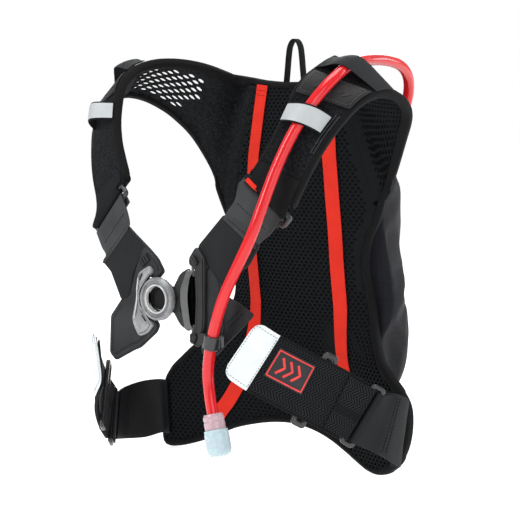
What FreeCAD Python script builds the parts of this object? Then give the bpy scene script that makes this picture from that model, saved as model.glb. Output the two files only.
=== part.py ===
import FreeCAD, Part
import Sketcher
import os, math

# Hydration pack: foam back panel with waist wings, a fabric pack body that
# holds a reservoir, and a four-point harness that closes on a chest buckle.
# The wearer's back touches the panel's front face, which looks towards -Y.
# +X is the wearer's left, +Z is up.  Coordinates below are worked out with
# Z = 0 level with the tips of the waist wings; every sub-part is then lowered
# by frame_drop so that the origin is the centre of the back panel.

V = FreeCAD.Vector
doc = FreeCAD.newDocument("hydration_pack")

# ---------------------------------------------------------------- sizes
sheet = doc.addObject("Spreadsheet::Sheet", "Sheet")
SIZES = [
    ("frame_drop", 200.0), ("mesh_thick", 1.8), ("foam_thick", 7.8),
    ("binding_width", 7.0), ("binding_thick", 11.4), ("strap_thick", 8.0),
    ("liner_thick", 1.2), ("shell_wall", 2.2), ("band_thick", 1.2),
    ("tube_radius", 5.25), ("split_radius", 42.0), ("split_gap", 1.0),
    ("hinge_x", 135.0), ("hinge_y", -72.0),
    ("loop_length", 62.0), ("loop_depth", 15.0), ("loop_slot_length", 54.0),
    ("loop_slot_depth", 6.5), ("loop_thick", 4.0), ("slider_span", 73.0), ("slider_slot", 62.0),
    ("ring_outer", 21.5), ("ring_inner", 14.0), ("ring_thick", 7.0),
    ("button_radius", 10.5), ("button_thick", 2.6), ("disc_radius", 16.0),
    ("disc_thick", 6.0), ("pocket_depth", 5.0), ("plate_thick", 3.0),
    ("base_thick", 4.0), ("pin_radius", 1.5), ("wing_thick", 2.4),
    ("clip_width", 13.0), ("clip_wall", 2.0),
    ("bladder_width", 132.0), ("bladder_height", 205.0), ("bladder_thick", 24.0),
    ("bar_length", 140.0), ("bar_height", 13.0), ("bar_depth", 10.0),
    ("coupling_radius", 9.5), ("coupling_length", 30.0),
    ("key_width", 9.0), ("key_height", 14.0), ("key_depth", 3.0),
    ("collar_length", 18.0), ("valve_length", 22.0), ("cover_radius", 11.6),
    ("slider_width", 8.0), ("slider_length", 12.0), ("slider_thick", 3.0),
    ("pull_width", 6.0), ("pull_length", 25.0), ("pull_thick", 1.6),
    ("eye_radius", 1.6), ("pull_pin_radius", 0.7), ("trunnion_radius", 1.35),
    ("port_radius", 9.0), ("port_length", 24.0), ("tape_thick", 1.2),
    ("tab_thick", 1.4), ("label_thick", 1.0), ("patch_thick", 1.6),
    ("strap_sheet", 3.0), ("web_thick", 2.2),
]
for i, (alias, val) in enumerate(SIZES):
    sheet.set("A%d" % (i + 1), alias)
    sheet.set("B%d" % (i + 1), str(val))
    sheet.setAlias("B%d" % (i + 1), alias)
doc.recompute()


def S(alias):
    return float(sheet.get(alias))


DROP = FreeCAD.Placement(V(0, 0, -S("frame_drop")), FreeCAD.Rotation())
NODES = {}


def keep(obj, name):
    obj.Label = name
    NODES[name] = obj
    return obj


def feature(name, shape):
    o = doc.addObject("Part::Feature", name)
    o.Shape = shape
    o.Placement = DROP.multiply(o.Placement)
    return keep(o, name)


def frame(origin, zdir, xdir):
    z = V(*zdir); z.normalize()
    x = V(*xdir); x = x - z * x.dot(z); x.normalize()
    y = z.cross(x)
    return FreeCAD.Placement(V(*origin), FreeCAD.Rotation(x, y, z, "ZXY"))


def new_body(name, pl):
    b = doc.addObject("PartDesign::Body", name)
    b.Placement = DROP.multiply(pl)
    keep(b, name)
    return b


def plane_of(b, role):
    return [f for f in b.Origin.OriginFeatures if f.Role == role][0]


def new_sketch(b, name, role="XY_Plane", z=0.0):
    sk = b.newObject("Sketcher::SketchObject", name)
    sk.AttachmentSupport = [(plane_of(b, role), "")]
    sk.MapMode = "FlatFace"
    if z:
        sk.AttachmentOffset = FreeCAD.Placement(V(0, 0, z), FreeCAD.Rotation())
    return sk


def rect(sk, wide, tall):
    # rectangle centred on the sketch's origin, its size driven by the sheet
    w, t = S(wide) / 2, S(tall) / 2
    n = sk.GeometryCount
    p = [V(-w, -t, 0), V(w, -t, 0), V(w, t, 0), V(-w, t, 0)]
    for k in range(4):
        sk.addGeometry(Part.LineSegment(p[k], p[(k + 1) % 4]), False)
    for k in range(4):
        sk.addConstraint(Sketcher.Constraint("Coincident", n + k, 2, n + (k + 1) % 4, 1))
    sk.addConstraint(Sketcher.Constraint("Horizontal", n))
    sk.addConstraint(Sketcher.Constraint("Horizontal", n + 2))
    sk.addConstraint(Sketcher.Constraint("Vertical", n + 1))
    sk.addConstraint(Sketcher.Constraint("Vertical", n + 3))
    sk.addConstraint(Sketcher.Constraint("Symmetric", n, 1, n + 1, 2, -1, 1))
    c = sk.addConstraint(Sketcher.Constraint("DistanceX", n, 1, n, 2, 2 * w))
    sk.setExpression("Constraints[%d]" % c, "Sheet." + wide)
    c = sk.addConstraint(Sketcher.Constraint("DistanceY", n + 1, 1, n + 1, 2, 2 * t))
    sk.setExpression("Constraints[%d]" % c, "Sheet." + tall)


def disc(sk, radius):
    n = sk.GeometryCount
    sk.addGeometry(Part.Circle(V(0, 0, 0), V(0, 0, 1), S(radius)), False)
    sk.addConstraint(Sketcher.Constraint("Coincident", n, 3, -1, 1))
    c = sk.addConstraint(Sketcher.Constraint("Radius", n, S(radius)))
    sk.setExpression("Constraints[%d]" % c, "Sheet." + radius)


def outline(sk, pts):
    n = sk.GeometryCount
    m = len(pts)
    for k in range(m):
        a, b = pts[k], pts[(k + 1) % m]
        sk.addGeometry(Part.LineSegment(V(a[0], a[1], 0), V(b[0], b[1], 0)), False)
    for k in range(m):
        sk.addConstraint(Sketcher.Constraint("Coincident", n + k, 2, n + (k + 1) % m, 1))


def pad(b, sk, alias, name, mid=False, rev=False):
    f = b.newObject("PartDesign::Pad", name)
    f.Profile = sk
    f.Length = S(alias)
    f.setExpression("Length", "Sheet." + alias)
    if mid:
        f.Midplane = True
    f.Reversed = rev
    doc.recompute()
    return f


def pocket(b, sk, alias, name, rev=False, mid=False):
    before = b.Shape.Volume
    f = b.newObject("PartDesign::Pocket", name)
    f.Profile = sk
    f.Length = S(alias)
    f.setExpression("Length", "Sheet." + alias)
    f.Reversed = rev
    if mid:
        f.Midplane = True
    doc.recompute()
    assert b.Shape.Volume < before - 0.5, "pocket %s cut nothing" % name
    return f


def fillet(b, radius, name, pick):
    base = b.Tip
    names = []
    for i, e in enumerate(base.Shape.Edges):
        if pick(e):
            names.append("Edge%d" % (i + 1))
    f = b.newObject("PartDesign::Fillet", name)
    f.Base = (base, names)
    f.Radius = radius
    doc.recompute()
    return f


def upright(e):
    # straight edges along the body's own Z
    if len(e.Vertexes) != 2:
        return False
    d = e.Vertexes[1].Point - e.Vertexes[0].Point
    return e.Curve.TypeId == "Part::GeomLine" and abs(d.x) + abs(d.y) < 1e-6


def revolve(b, name, pts):
    # half profile (r, z) turned about the body's Z axis
    sk = new_sketch(b, name + "_profile", "XZ_Plane")
    outline(sk, pts)
    f = b.newObject("PartDesign::Revolution", name)
    f.Profile = sk
    f.ReferenceAxis = (sk, ["V_Axis"])
    f.Angle = 360
    doc.recompute()
    return f


# ---------------------------------------------------------------- helpers for cloth
def lerp_table(tab, t):
    if t <= tab[0][0]:
        return tab[0][1]
    for (a, va), (b, vb) in zip(tab, tab[1:]):
        if t <= b:
            return va + (vb - va) * (t - a) / (b - a)
    return tab[-1][1]


def smooth(t):
    t = max(0.0, min(1.0, t))
    return t * t * (3 - 2 * t)


BULGE = [(-10, 0), (90, 0), (150, -3), (200, -10), (260, -14), (300, -15), (345, -12), (380, -9)]


WRAP = [(0, 0), (45, 0), (70, -4), (90, -10.5), (110, -18.5), (130, -24.5), (145, -27), (180, -27)]


def yfront(x, z):
    # front face of the back panel: crowned along the spine, wings wrap forwards
    up = lerp_table(BULGE, z) + 0.0017 * x * x
    low = lerp_table(WRAP, abs(x))
    k = smooth((z - 95.0) / 70.0)
    return low + (up - low) * k


def catmull(P, t):
    n = len(P)
    i = max(0, min(n - 2, int(math.floor(t))))
    f = t - i
    p1, p2 = P[i], P[i + 1]
    p0 = P[i - 1] if i > 0 else tuple(2 * a - b for a, b in zip(p1, p2))
    p3 = P[i + 2] if i + 2 < n else tuple(2 * b - a for a, b in zip(p1, p2))
    return V(*[0.5 * ((2 * b) + (-a + c) * f + (2 * a - 5 * b + 4 * c - d) * f * f
                      + (-a + 3 * b - 3 * c + d) * f ** 3)
               for a, b, c, d in zip(p0, p1, p2, p3)])


class Ribbon:
    """Strap mid-surface between an inner and an outer edge."""

    def __init__(self, inner, outer, flip=1.0):
        self.i, self.o, self.flip = inner, outer, flip

    def at(self, s, u, n):
        def mid(q):
            return catmull(self.i, q) * (1 - u) + catmull(self.o, q) * u
        a, b = catmull(self.i, s), catmull(self.o, s)
        d = 0.05
        lo, hi = max(0.0, s - d), min(len(self.i) - 1.0, s + d)
        tan = mid(hi) - mid(lo)
        nor = tan.cross(b - a)
        nor.normalize()
        return a * (1 - u) + b * u + nor * (n * self.flip)


def slab(rb, s0, s1, u0, u1, n0, n1, steps, mirror=False, arch=None):
    # closed solid between two offsets of a ribbon, ruled between its sections
    wires = []
    for k in range(steps + 1):
        s = s0 + (s1 - s0) * k / steps
        if arch is None:
            loop = [rb.at(s, u0, n0), rb.at(s, u1, n0), rb.at(s, u1, n1), rb.at(s, u0, n1)]
        else:
            lo = [rb.at(s, u, h) for u, h in arch]
            hi = [rb.at(s, u, h + n1) for u, h in reversed(arch)]
            loop = lo + hi
        if mirror:
            loop = [V(-p.x, p.y, p.z) for p in loop]
        wires.append(Part.makePolygon(loop + [loop[0]]))
    rows = [[v.Point for v in w.OrderedVertexes] for w in wires]
    if arch is not None:
        return facets(rows)
    sh = Part.makeLoft(wires, True, True)
    if sh.Volume < 0:
        sh.reverse()
    if not sh.isValid():
        sh = facets(rows)
    return sh


def facets(rows):
    # closed solid of flat triangles through the sections, for strongly twisted webbing
    m = len(rows[0])
    faces = []

    def tri(a, b, c):
        if (b - a).cross(c - a).Length > 1e-7:
            faces.append(Part.Face(Part.makePolygon([a, b, c, a])))
    for r0, r1 in zip(rows, rows[1:]):
        for k in range(m):
            j = (k + 1) % m
            tri(r0[k], r0[j], r1[j])
            tri(r0[k], r1[j], r1[k])
    for r in (rows[0], rows[-1]):
        for k in range(m // 2 - 1):
            tri(r[k], r[k + 1], r[m - 2 - k])
            tri(r[k], r[m - 2 - k], r[m - 1 - k])
    shell = Part.makeShell(faces)
    sol = Part.makeSolid(shell)
    if sol.Volume < 0:
        sol.reverse()
    return sol


def spline_wire(pts, closed=True):
    c = Part.BSplineCurve()
    c.interpolate([V(*p) for p in pts], PeriodicFlag=closed)
    return Part.Wire([c.toShape()])


def dense(P, per=6):
    # closed Catmull-Rom resampling of an outline in X, Z
    n = len(P)
    out = []
    for i in range(n):
        p0, p1, p2, p3 = P[i - 1], P[i], P[(i + 1) % n], P[(i + 2) % n]
        for k in range(per):
            f = k / float(per)
            out.append(tuple(0.5 * ((2 * b) + (-a + c) * f + (2 * a - 5 * b + 4 * c - d) * f * f
                                    + (-a + 3 * b - 3 * c + d) * f ** 3)
                             for a, b, c, d in zip(p0, p1, p2, p3)))
    return out


def inset(P, d):
    n = len(P)
    area = sum(P[i][0] * P[(i + 1) % n][1] - P[(i + 1) % n][0] * P[i][1] for i in range(n))
    sg = 1.0 if area > 0 else -1.0
    out = []
    for i in range(n):
        a, b = P[i - 1], P[(i + 1) % n]
        tx, tz = b[0] - a[0], b[1] - a[1]
        L = math.hypot(tx, tz)
        out.append((P[i][0] - sg * tz / L * d, P[i][1] + sg * tx / L * d))

    def gap(q):
        best = 1e9
        for i in range(n):
            (ax, az), (bx, bz) = P[i - 1], P[i]
            vx, vz = bx - ax, bz - az
            t = max(0.0, min(1.0, ((q[0] - ax) * vx + (q[1] - az) * vz) / (vx * vx + vz * vz)))
            best = min(best, math.hypot(q[0] - ax - vx * t, q[1] - az - vz * t))
        return best
    return [q for q in out if gap(q) > d * 0.975]


def two_arcs(P, y):
    # closed outline that starts at its top centre, as two splines that meet on the centre line
    n = len(P) // 2
    pts = [V(p[0], y, p[1]) for p in P]
    halves = []
    for part in (pts[:n + 1], pts[n:] + pts[:1]):
        c = Part.BSplineCurve()
        c.interpolate(part)
        halves.append(c.toShape())
    return Part.Wire(halves)


def prism(P, y0, y1):
    return Part.Face(two_arcs(P, y0)).extrude(V(0, y1 - y0, 0))


def sheet_face(dy, margin=14.0):
    # spline surface of the panel's front face moved back by dy
    rows = []
    xs = [-178 + 356.0 * i / 24 for i in range(25)]
    zs = [-margin - 4 + (400.0 + 2 * margin) * j / 24 for j in range(25)]
    for x in xs:
        rows.append([V(x, yfront(x, z) + dy, z) for z in zs])
    s = Part.BSplineSurface()
    s.interpolate(rows)
    return s.toShape()


# ---------------------------------------------------------------- back panel
TOP = [(0, 372.5), (35, 374.5), (60, 377.5), (68.0, 376.5), (72.5, 356), (82.5, 320), (93.5, 283),
       (101, 256), (99, 238), (91, 221), (86.5, 200), (86.5, 176), (91, 150), (103, 124)]
LOW_L = [(128, 98), (147, 81), (156, 66), (157, 45), (152, 24), (141, 8), (122, -2.5), (100, -3),
         (77, 4), (55, 13.5), (27, 24.5), (0, 29.5)]
LOW_R = [(-25, 29), (-50, 25), (-76, 18), (-104, 5), (-128, -3), (-148, -6), (-157.5, -1), (-158.5, 20), (-157, 45), (-155, 64), (-144, 80), (-126, 97)]
OUT = TOP + LOW_L + LOW_R + [(-x, z) for x, z in reversed(TOP[1:])]
OUTLINE = dense(OUT, 3)
INNER = inset(OUTLINE, S("binding_width"))
INNER2 = inset(OUTLINE, S("binding_width") + 0.4)

front = sheet_face(0.0)


def slab_y(y0, y1):
    return sheet_face(y0).extrude(V(0, y1 - y0, 0))


mesh0 = 0.0
foam0 = mesh0 + S("mesh_thick") + 0.2
foam1 = foam0 + S("foam_thick")
back_mesh = slab_y(mesh0, mesh0 + S("mesh_thick")).common(prism(INNER2, -120, 120))
feature("back_mesh", back_mesh)
foam = slab_y(foam0, foam1).common(prism(INNER2, -120, 120))
feature("back_panel_foam", foam)
bind = slab_y(-0.7, -0.7 + S("binding_thick")).common(prism(OUTLINE, -120, 120)).cut(prism(INNER, -125, 125))
feature("edge_binding", bind)
for q in ("back_mesh", "back_panel_foam", "edge_binding"):
    print(q, NODES[q].Shape.isValid(), NODES[q].Shape.ShapeType, [round(z.Volume) for z in NODES[q].Shape.Solids])

# ---------------------------------------------------------------- pack body
SH_HALF = [(0, 363), (40, 362), (66, 357), (82, 343), (88, 318), (91, 284), (97, 225), (102, 165),
           (101, 118), (92, 80), (72, 54), (40, 43), (0, 40)]
SH_OUT = SH_HALF + [(-x, z) for x, z in reversed(SH_HALF[1:-1])]
SHD = dense(SH_OUT, 2)


def ring_at(y, k, off):
    P = inset(SHD, off) if off else SHD
    return spline_wire([(x * k, y, 200 + (z - 200) * k) for x, z in P])


def body_loft(off, y_end):
    ks = [(-30, 0.97), (15, 0.995), (38, 1.0), (55, 0.965), (67, 0.86), (y_end, 0.66)]
    return Part.makeLoft([ring_at(y, k, off) for y, k in ks], True, False)


DEPTH = 76.0
outer = body_loft(0.0, DEPTH)
inner = body_loft(S("shell_wall"), DEPTH - S("shell_wall"))
behind = S("binding_thick") - 0.7 + 0.3
liner_y0 = behind
liner_y1 = behind + S("liner_thick")
cut_front = slab_y(-90, liner_y1 + 0.3)
shell = outer.cut(inner).cut(cut_front)
# hole for the hose port in the top corner on the wearer's left
PORT_AT = (93.0, 44.0, 329.0)
PORT_DIR = V(0.50, -0.20, 0.843); PORT_DIR.normalize()
hole = Part.makeCylinder(S("port_radius") + 0.5, 60, V(*PORT_AT) - PORT_DIR * 30, PORT_DIR)
shell = shell.cut(hole)
# slot for the main zip across the upper back
ZIP_Z = 262.0
zip_cut = Part.makeBox(150, 60, 9, V(-75, 48, ZIP_Z - 4.5))
shell = shell.cut(zip_cut)
shell = max(shell.Solids, key=lambda q: q.Volume)
feature("pack_shell", shell)
liner = slab_y(liner_y0, liner_y1).common(prism(inset(SHD, 1.0), -120, 120))
feature("compartment_liner", liner)

# ---------------------------------------------------------------- zip across the back
tape = outer.cut(body_loft(S("tape_thick"), DEPTH - S("tape_thick")))
tape = tape.common(Part.makeBox(149, 60, 8.2, V(-74.5, 48.5, ZIP_Z - 4.1)))
tape = max(tape.Solids, key=lambda q: q.Volume)
tape = tape.cut(Part.makeBox(200, 200, 0.3, V(-100, -20, ZIP_Z - 0.15))).Solids
tape = Part.makeCompound(tape)
feature("zipper_tape", tape)
# straight flat middle of the zip: the back face is flat there
slider_pl = frame((-38, DEPTH + 0.35, ZIP_Z), (0, 1, 0), (1, 0, 0))
b = doc.addObject("PartDesign::Body", "slider_base")
b.Placement = DROP.multiply(slider_pl)
sk = new_sketch(b, "slider_plan"); rect(sk, "slider_length", "slider_width")
pad(b, sk, "slider_thick", "slider_body")
fillet(b, 2.4, "slider_corners", upright)
# the pull turns on a pin between two lugs on the slider's back
PIN_Y = DEPTH + 0.35 + S("slider_thick") + 0.4 + S("eye_radius")
PIN_Z = ZIP_Z + 1.0


def slider_part(kind, name, pos, **sizes):
    o = doc.addObject(kind, name)
    for k, expr in sizes.items():
        if isinstance(expr, str):
            o.setExpression(k, expr)
        else:
            setattr(o, k, expr)
    o.Placement = DROP.multiply(pos)
    return o


ALONG_X = FreeCAD.Rotation(V(0, 1, 0), 90)
lugs = []
for k, x in enumerate((-38 - 4.6, -38 + 3.4)):
    lugs.append(slider_part("Part::Box", "slider_lug_%d" % k, FreeCAD.Placement(V(x, DEPTH + 3.0, PIN_Z - 1.8), FreeCAD.Rotation()),
                            Length=1.2, Width=PIN_Y + 1.3 - DEPTH - 3.0, Height=3.6))
pin = slider_part("Part::Cylinder", "slider_pin", FreeCAD.Placement(V(-38 - 4.0, PIN_Y, PIN_Z), ALONG_X), Radius="Sheet.pull_pin_radius", Height=8.0)
fz = doc.addObject("Part::MultiFuse", "zipper_slider")
fz.Shapes = [b] + lugs + [pin]
keep(fz, "zipper_slider")
plate_box = slider_part("Part::Box", "pull_plate", FreeCAD.Placement(V(-38 - S("pull_width") / 2, PIN_Y - S("pull_thick") / 2, PIN_Z - S("pull_length")), FreeCAD.Rotation()),
                        Length="Sheet.pull_width", Width="Sheet.pull_thick", Height="Sheet.pull_length")
eye = slider_part("Part::Cylinder", "pull_eye", FreeCAD.Placement(V(-38 - S("pull_width") / 2, PIN_Y, PIN_Z), ALONG_X), Radius="Sheet.eye_radius", Height="Sheet.pull_width")
eyef = doc.addObject("Part::Fuse", "pull_blank"); eyef.Base = plate_box; eyef.Tool = eye
ebore = slider_part("Part::Cylinder", "pull_eye_bore", FreeCAD.Placement(V(-38 - 6, PIN_Y, PIN_Z), ALONG_X), Radius="Sheet.pull_pin_radius + 0.12", Height=12.0)
zp = doc.addObject("Part::Cut", "zipper_pull"); zp.Base = eyef; zp.Tool = ebore
keep(zp, "zipper_pull")

# ---------------------------------------------------------------- elastic red bands down the panel
BAND = [(44.0, 361), (47.5, 330), (51, 290), (53.5, 250), (55, 210), (55, 170), (56, 135), (60.5, 105),
        (70, 75), (83, 50), (92, 37)]


def band(side):
    wires = []
    hw = 7.6
    n = 20
    pts = [catmull([(p[0], p[1]) for p in BAND], (len(BAND) - 1) * k / float(n)) if False else None for k in range(0)]
    P3 = [(p[0], 0.0, p[1]) for p in BAND]
    for k in range(n + 1):
        t = (len(BAND) - 1) * k / float(n)
        c = catmull(P3, t)
        a = catmull(P3, max(0, t - 0.1)); d = catmull(P3, min(len(BAND) - 1, t + 0.1))
        tx, tz = d.x - a.x, d.z - a.z
        L = math.hypot(tx, tz)
        nx, nz = -tz / L, tx / L
        loop = []
        for sx, dy in ((-1, -0.35), (1, -0.35), (1, -0.35 - S("band_thick")), (-1, -0.35 - S("band_thick"))):
            x, z = c.x + nx * hw * sx, c.z + nz * hw * sx
            loop.append(V(x * side, yfront(x, z) + dy - 0.5, z))
        wires.append(Part.makePolygon(loop + [loop[0]]))
    return Part.makeLoft(wires, True, True)


feature("elastic_bands", Part.makeCompound([band(1), band(-1)]))

# ---------------------------------------------------------------- hang loop
hl = []
for (x, z) in [(-11.0, 374.4), (-9.5, 386), (-8.2, 398), (-6.5, 407), (-2.5, 413), (2.5, 413), (6.5, 407), (8.2, 398), (9.5, 386), (11.0, 374.4)]:
    hl.append((x, z))
def strip_xz(P, t, y0, y1):
    outer_p, inner_p = [], []
    for i, p in enumerate(P):
        a = P[max(0, i - 1)]; b2 = P[min(len(P) - 1, i + 1)]
        tx, tz = b2[0] - a[0], b2[1] - a[1]; L = math.hypot(tx, tz)
        nx, nz = -tz / L, tx / L
        outer_p.append((p[0] + nx * t / 2, p[1] + nz * t / 2)); inner_p.append((p[0] - nx * t / 2, p[1] - nz * t / 2))
    ring = outer_p + inner_p[::-1]
    w = Part.makePolygon([V(x, y0, z) for x, z in ring] + [V(ring[0][0], y0, ring[0][1])])
    return Part.Face(w).extrude(V(0, y1 - y0, 0))
feature("hang_loop", strip_xz(hl, 2.0, -6.0, 2.5))

# ---------------------------------------------------------------- shoulder straps
SH_IN = [(69.5, -4, 377.5), (71, -21, 382), (76, -42, 387.5), (87, -60, 391.5), (100, -73, 393), (110, -88, 391.5),
         (113, -110, 384.5), (109, -133, 369), (103, -146, 341), (95, -153, 318), (85, -158, 300), (76, -162.5, 285)]
SH_OU = [(103.5, 4, 254), (113, 8, 277), (133, -1, 314), (149, -14, 336), (157.5, -31, 348.5), (162, -54, 357),
         (163, -80, 359), (159, -107, 349), (149.5, -130, 325), (140, -142.5, 302), (131, -150, 279), (119, -156, 251)]
SHO = Ribbon(SH_IN, SH_OU)
half_t = S("strap_thick") / 2
HX, HY, HR, GAP = S("hinge_x"), S("hinge_y"), S("split_radius"), S("split_gap")


def swing_zone(side, grow=0.0):
    cyl = Part.makeCylinder(HR + grow, 560, V(HX * side, HY, -80))
    box = Part.makeBox(500, 260, 560, V(-250, HY - 10 - 260 + grow, -80))
    return cyl.fuse(box)


ZONE = {}
for side in (1, -1):
    ZONE[side] = (swing_zone(side), swing_zone(side, GAP))


def biggest(sh):
    return max(sh.Solids, key=lambda q: q.Volume)


for side, nm in ((1, "left"), (-1, "right")):
    full = slab(SHO, 0.11, 10.45 if side > 0 else 10.8, 0.0, 1.0, -half_t, half_t, 22, mirror=(side < 0))
    feature("shoulder_yoke_" + nm, biggest(full.cut(ZONE[side][1])))
    feature("shoulder_strap_" + nm, biggest(full.common(ZONE[side][0])))
    # leather-look patch on top of the shoulder
    feature("shoulder_patch_" + nm, slab(SHO, 6.42, 7.3, 0.05, 0.95, half_t + 0.4, half_t + 0.4 + S("patch_thick"), 4, mirror=(side < 0)))
    # elastic keeper over the shoulder, arched so that the hose fits under it
    arch = [(0.03, half_t + 0.6), (0.12, half_t + 7.5), (0.28, half_t + 14.5), (0.46, half_t + 17), (0.66, half_t + 16.5), (0.86, half_t + 9), (0.97, half_t + 0.6)]
    feature("hose_keeper_" + nm, slab(SHO, 5.5, 6.12, 0, 1, 0, 1.6, 4, mirror=(side < 0), arch=arch))
    arch = [(0.02, half_t + 0.6), (0.10, half_t + 8.5), (0.24, half_t + 17), (0.50, half_t + 18.5), (0.68, half_t + 12), (0.80, half_t + 0.6)]
    feature("reflective_loop_" + nm, slab(SHO, 7.62, 8.22, 0, 1, 0, 1.6, 4, mirror=(side < 0), arch=arch))


# ---------------------------------------------------------------- moulded rectangular loops
def strap_loop(name, mid, long_dir, across, span="loop_length", slot="loop_slot_length"):
    # flat ring: long_dir along its bars, across is the strap's running direction
    ld = V(*long_dir); ld.normalize()
    ac = V(*across); ac = ac - ld * ac.dot(ld); ac.normalize()
    nz = ld.cross(ac)
    b = new_body(name, frame(mid, (nz.x, nz.y, nz.z), (ld.x, ld.y, ld.z)))
    sk = new_sketch(b, name + "_rim"); rect(sk, span, "loop_depth")
    pad(b, sk, "loop_thick", name + "_pad", mid=True)
    fillet(b, 4.0, name + "_corners", upright)
    sk = new_sketch(b, name + "_slot"); rect(sk, slot, "loop_slot_depth")
    pocket(b, sk, "loop_depth", name + "_cut", mid=True)
    return b


UP_L = ((75, -166, 283.2), (118.4, -160, 246.7))
UP_R = ((-75, -166, 271.8), (-118.5, -160, 227.5))
LOOPS = {}


def vsub(a, b):
    return tuple(x - y for x, y in zip(a, b))


def vmid(a, b):
    return tuple((x + y) / 2 for x, y in zip(a, b))


for nm, side, (pi, po) in (("left", 1, UP_L), ("right", -1, UP_R)):
    run = (-0.52 * side, -0.12, -0.83)
    strap_loop("shoulder_loop_" + nm, vmid(pi, po), vsub(po, pi), run)
    LOOPS["shoulder_" + nm] = (pi, po)

# waist loops: wing webbing on one bar, waist strap on the other
WL = {1: ((166.5, -86, 93.5), (147.5, -110, 44.0)), -1: ((-169.5, -86, 58.0), (-151.5, -110, 9.5))}
for nm, side in (("left", 1), ("right", -1)):
    pt, pb = WL[side]
    run = (-0.54 * side, -0.67, 0.5)
    strap_loop("waist_loop_" + nm, vmid(pt, pb), vsub(pt, pb), run)

# ---------------------------------------------------------------- webbing from the shoulder loops to the chest wings
FOLD = {1: [((73, -168.8, 277.0), (114.5, -163, 241.5)), ((66, -171.8, 266.5), (108.5, -167.5, 234.5)), ((60.0, -174.6, 256.5), (102.5, -172.5, 228.5))],
        -1: [((-71.5, -168.8, 265.5), (-113.5, -163, 221.5)), ((-66.5, -171.5, 252.5), (-106.5, -167.5, 211.5)), ((-60.5, -174.2, 240.5), (-96, -172.5, 204.5))]}
for nm, side in (("left", 1), ("right", -1)):
    st = FOLD[side]
    rb = Ribbon([p[0] for p in st], [p[1] for p in st], flip=float(side))
    feature("shoulder_webbing_" + nm, slab(rb, 0.25, 2.0, 0.06, 0.94, -0.6, -0.6 + S("web_thick"), 4))

# ---------------------------------------------------------------- chest wings (rubbery fabric)
RC = (-18.5, 170.5)   # centre of the buckle ring in X, Z
WING_L = [(61.0, 252.5), (101.5, 225.5), (88.7, 207.1), (61.4, 189.2), (61.8, 178.4), (80.0, 171.5),
          (95.0, 163.5), (82.8, 151.7), (61.3, 133.6), (50.4, 122.6), (32.6, 122.6), (42.5, 146), (42.6, 188), (42.6, 212), (31.0, 224.5)]
WING_R = [(-94.5, 201.5), (-60.5, 237.0), (-52.6, 230.8), (-32.5, 216.4), (-21.8, 208.0), (-13.5, 196.0),
          (-44.5, 196), (-44.5, 146), (-20.0, 146.0), (-23.6, 138.4), (-45.0, 121.9), (-53.5, 118.8), (-77.3, 107.0),
          (-85.3, 114.1), (-83.6, 149.9), (-68.2, 167.9), (-83, 192.4)]


def plate(name, pts, y_front, thick):
    # flat plate in X, Z whose outer (-Y) face lies at y_front
    b = new_body(name, frame((0, y_front, 0), (0, -1, 0), (1, 0, 0)))
    sk = new_sketch(b, name + "_outline")
    outline(sk, pts)
    pad(b, sk, thick, name + "_pad", rev=True)
    return b


plate("chest_wing_left", WING_L, -178.4, "wing_thick")
plate("chest_wing_right", WING_R, -178.4, "wing_thick")

# ---------------------------------------------------------------- buckle: translucent bracket and ring
BRACKET = [(-29.5, 199.1), (-41.9, 191.3), (-42.1, 170.5), (-50.1, 148.2), (-41.1, 134.7), (-32.0, 139.2), (-25.5, 147.2),
           (-38.2, 158.5), (-41.0, 170.5), (-38.4, 182.5), (-27.0, 192.8)]
BRACKET = [(-29.5, 201.1), (-43.9, 193.3), (-46.1, 170.5), (-52.1, 148.2), (-43.1, 132.7), (-32.0, 137.2), (-24.5, 145.2),
           (-35.5, 156.5), (-41.6, 164.0), (-41.6, 177.0), (-35.5, 184.5), (-25.0, 195.8)]
plate("buckle_bracket", BRACKET, -182.6, "base_thick")
b = new_body("buckle_ring", frame((RC[0], -179.0, RC[1]), (0, -1, 0), (1, 0, 0)))
sk = new_sketch(b, "ring_rim"); disc(sk, "ring_outer")
pad(b, sk, "ring_thick", "ring_pad")
sk = new_sketch(b, "ring_hole"); disc(sk, "ring_inner")
pocket(b, sk, "ring_thick", "ring_bore", rev=True)
fillet(b, 1.6, "ring_edges", lambda e: e.Curve.TypeId == "Part::GeomCircle" and abs(e.Curve.Radius - S("ring_outer")) < 0.1)

# tongue: round latch disc and plate in one, with the raised bow as its own piece
PLATE = [(17.5, 201.5), (6.0, 195.5), (-2.0, 182.5), (-6, 181.0), (-6.0, 160.0), (-2.0, 158.5), (6.0, 147.5), (17.5, 141.5)]
b = new_body("tongue_plate", frame((RC[0], -178.4, RC[1]), (0, -1, 0), (1, 0, 0)))
sk = new_sketch(b, "latch_disc"); disc(sk, "disc_radius")
pad(b, sk, "disc_thick", "latch_disc_pad", rev=True)
sk = new_sketch(b, "tongue_outline"); outline(sk, [(x - RC[0], z - RC[1]) for x, z in PLATE])
pad(b, sk, "plate_thick", "tongue_pad", rev=True)
sk = new_sketch(b, "tongue_root"); outline(sk, [(x - RC[0], z - RC[1]) for x, z in [(-6.5, 179.5), (-6.5, 161.5), (-14, 160), (-14, 181)]])
pad(b, sk, "plate_thick", "tongue_root_pad", rev=True)
sk = new_sketch(b, "button_seat"); disc(sk, "button_radius")
seat = b.newObject("PartDesign::Pocket", "button_seat_cut")
sk.setExpression("Constraints[1]", "Sheet.button_radius + 0.3")
seat.Profile = sk
seat.Length = S("pocket_depth")
seat.setExpression("Length", "Sheet.pocket_depth")
vol0 = b.Shape.Volume
doc.recompute()
if not b.Shape.Volume < vol0 - 0.5:
    seat.Reversed = not seat.Reversed
    doc.recompute()
assert b.Shape.Volume < vol0 - 0.5, "button seat cut nothing"
b = new_body("release_button", frame((RC[0], -178.4, RC[1]), (0, -1, 0), (1, 0, 0)))
sk = new_sketch(b, "button_face"); disc(sk, "button_radius")
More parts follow.
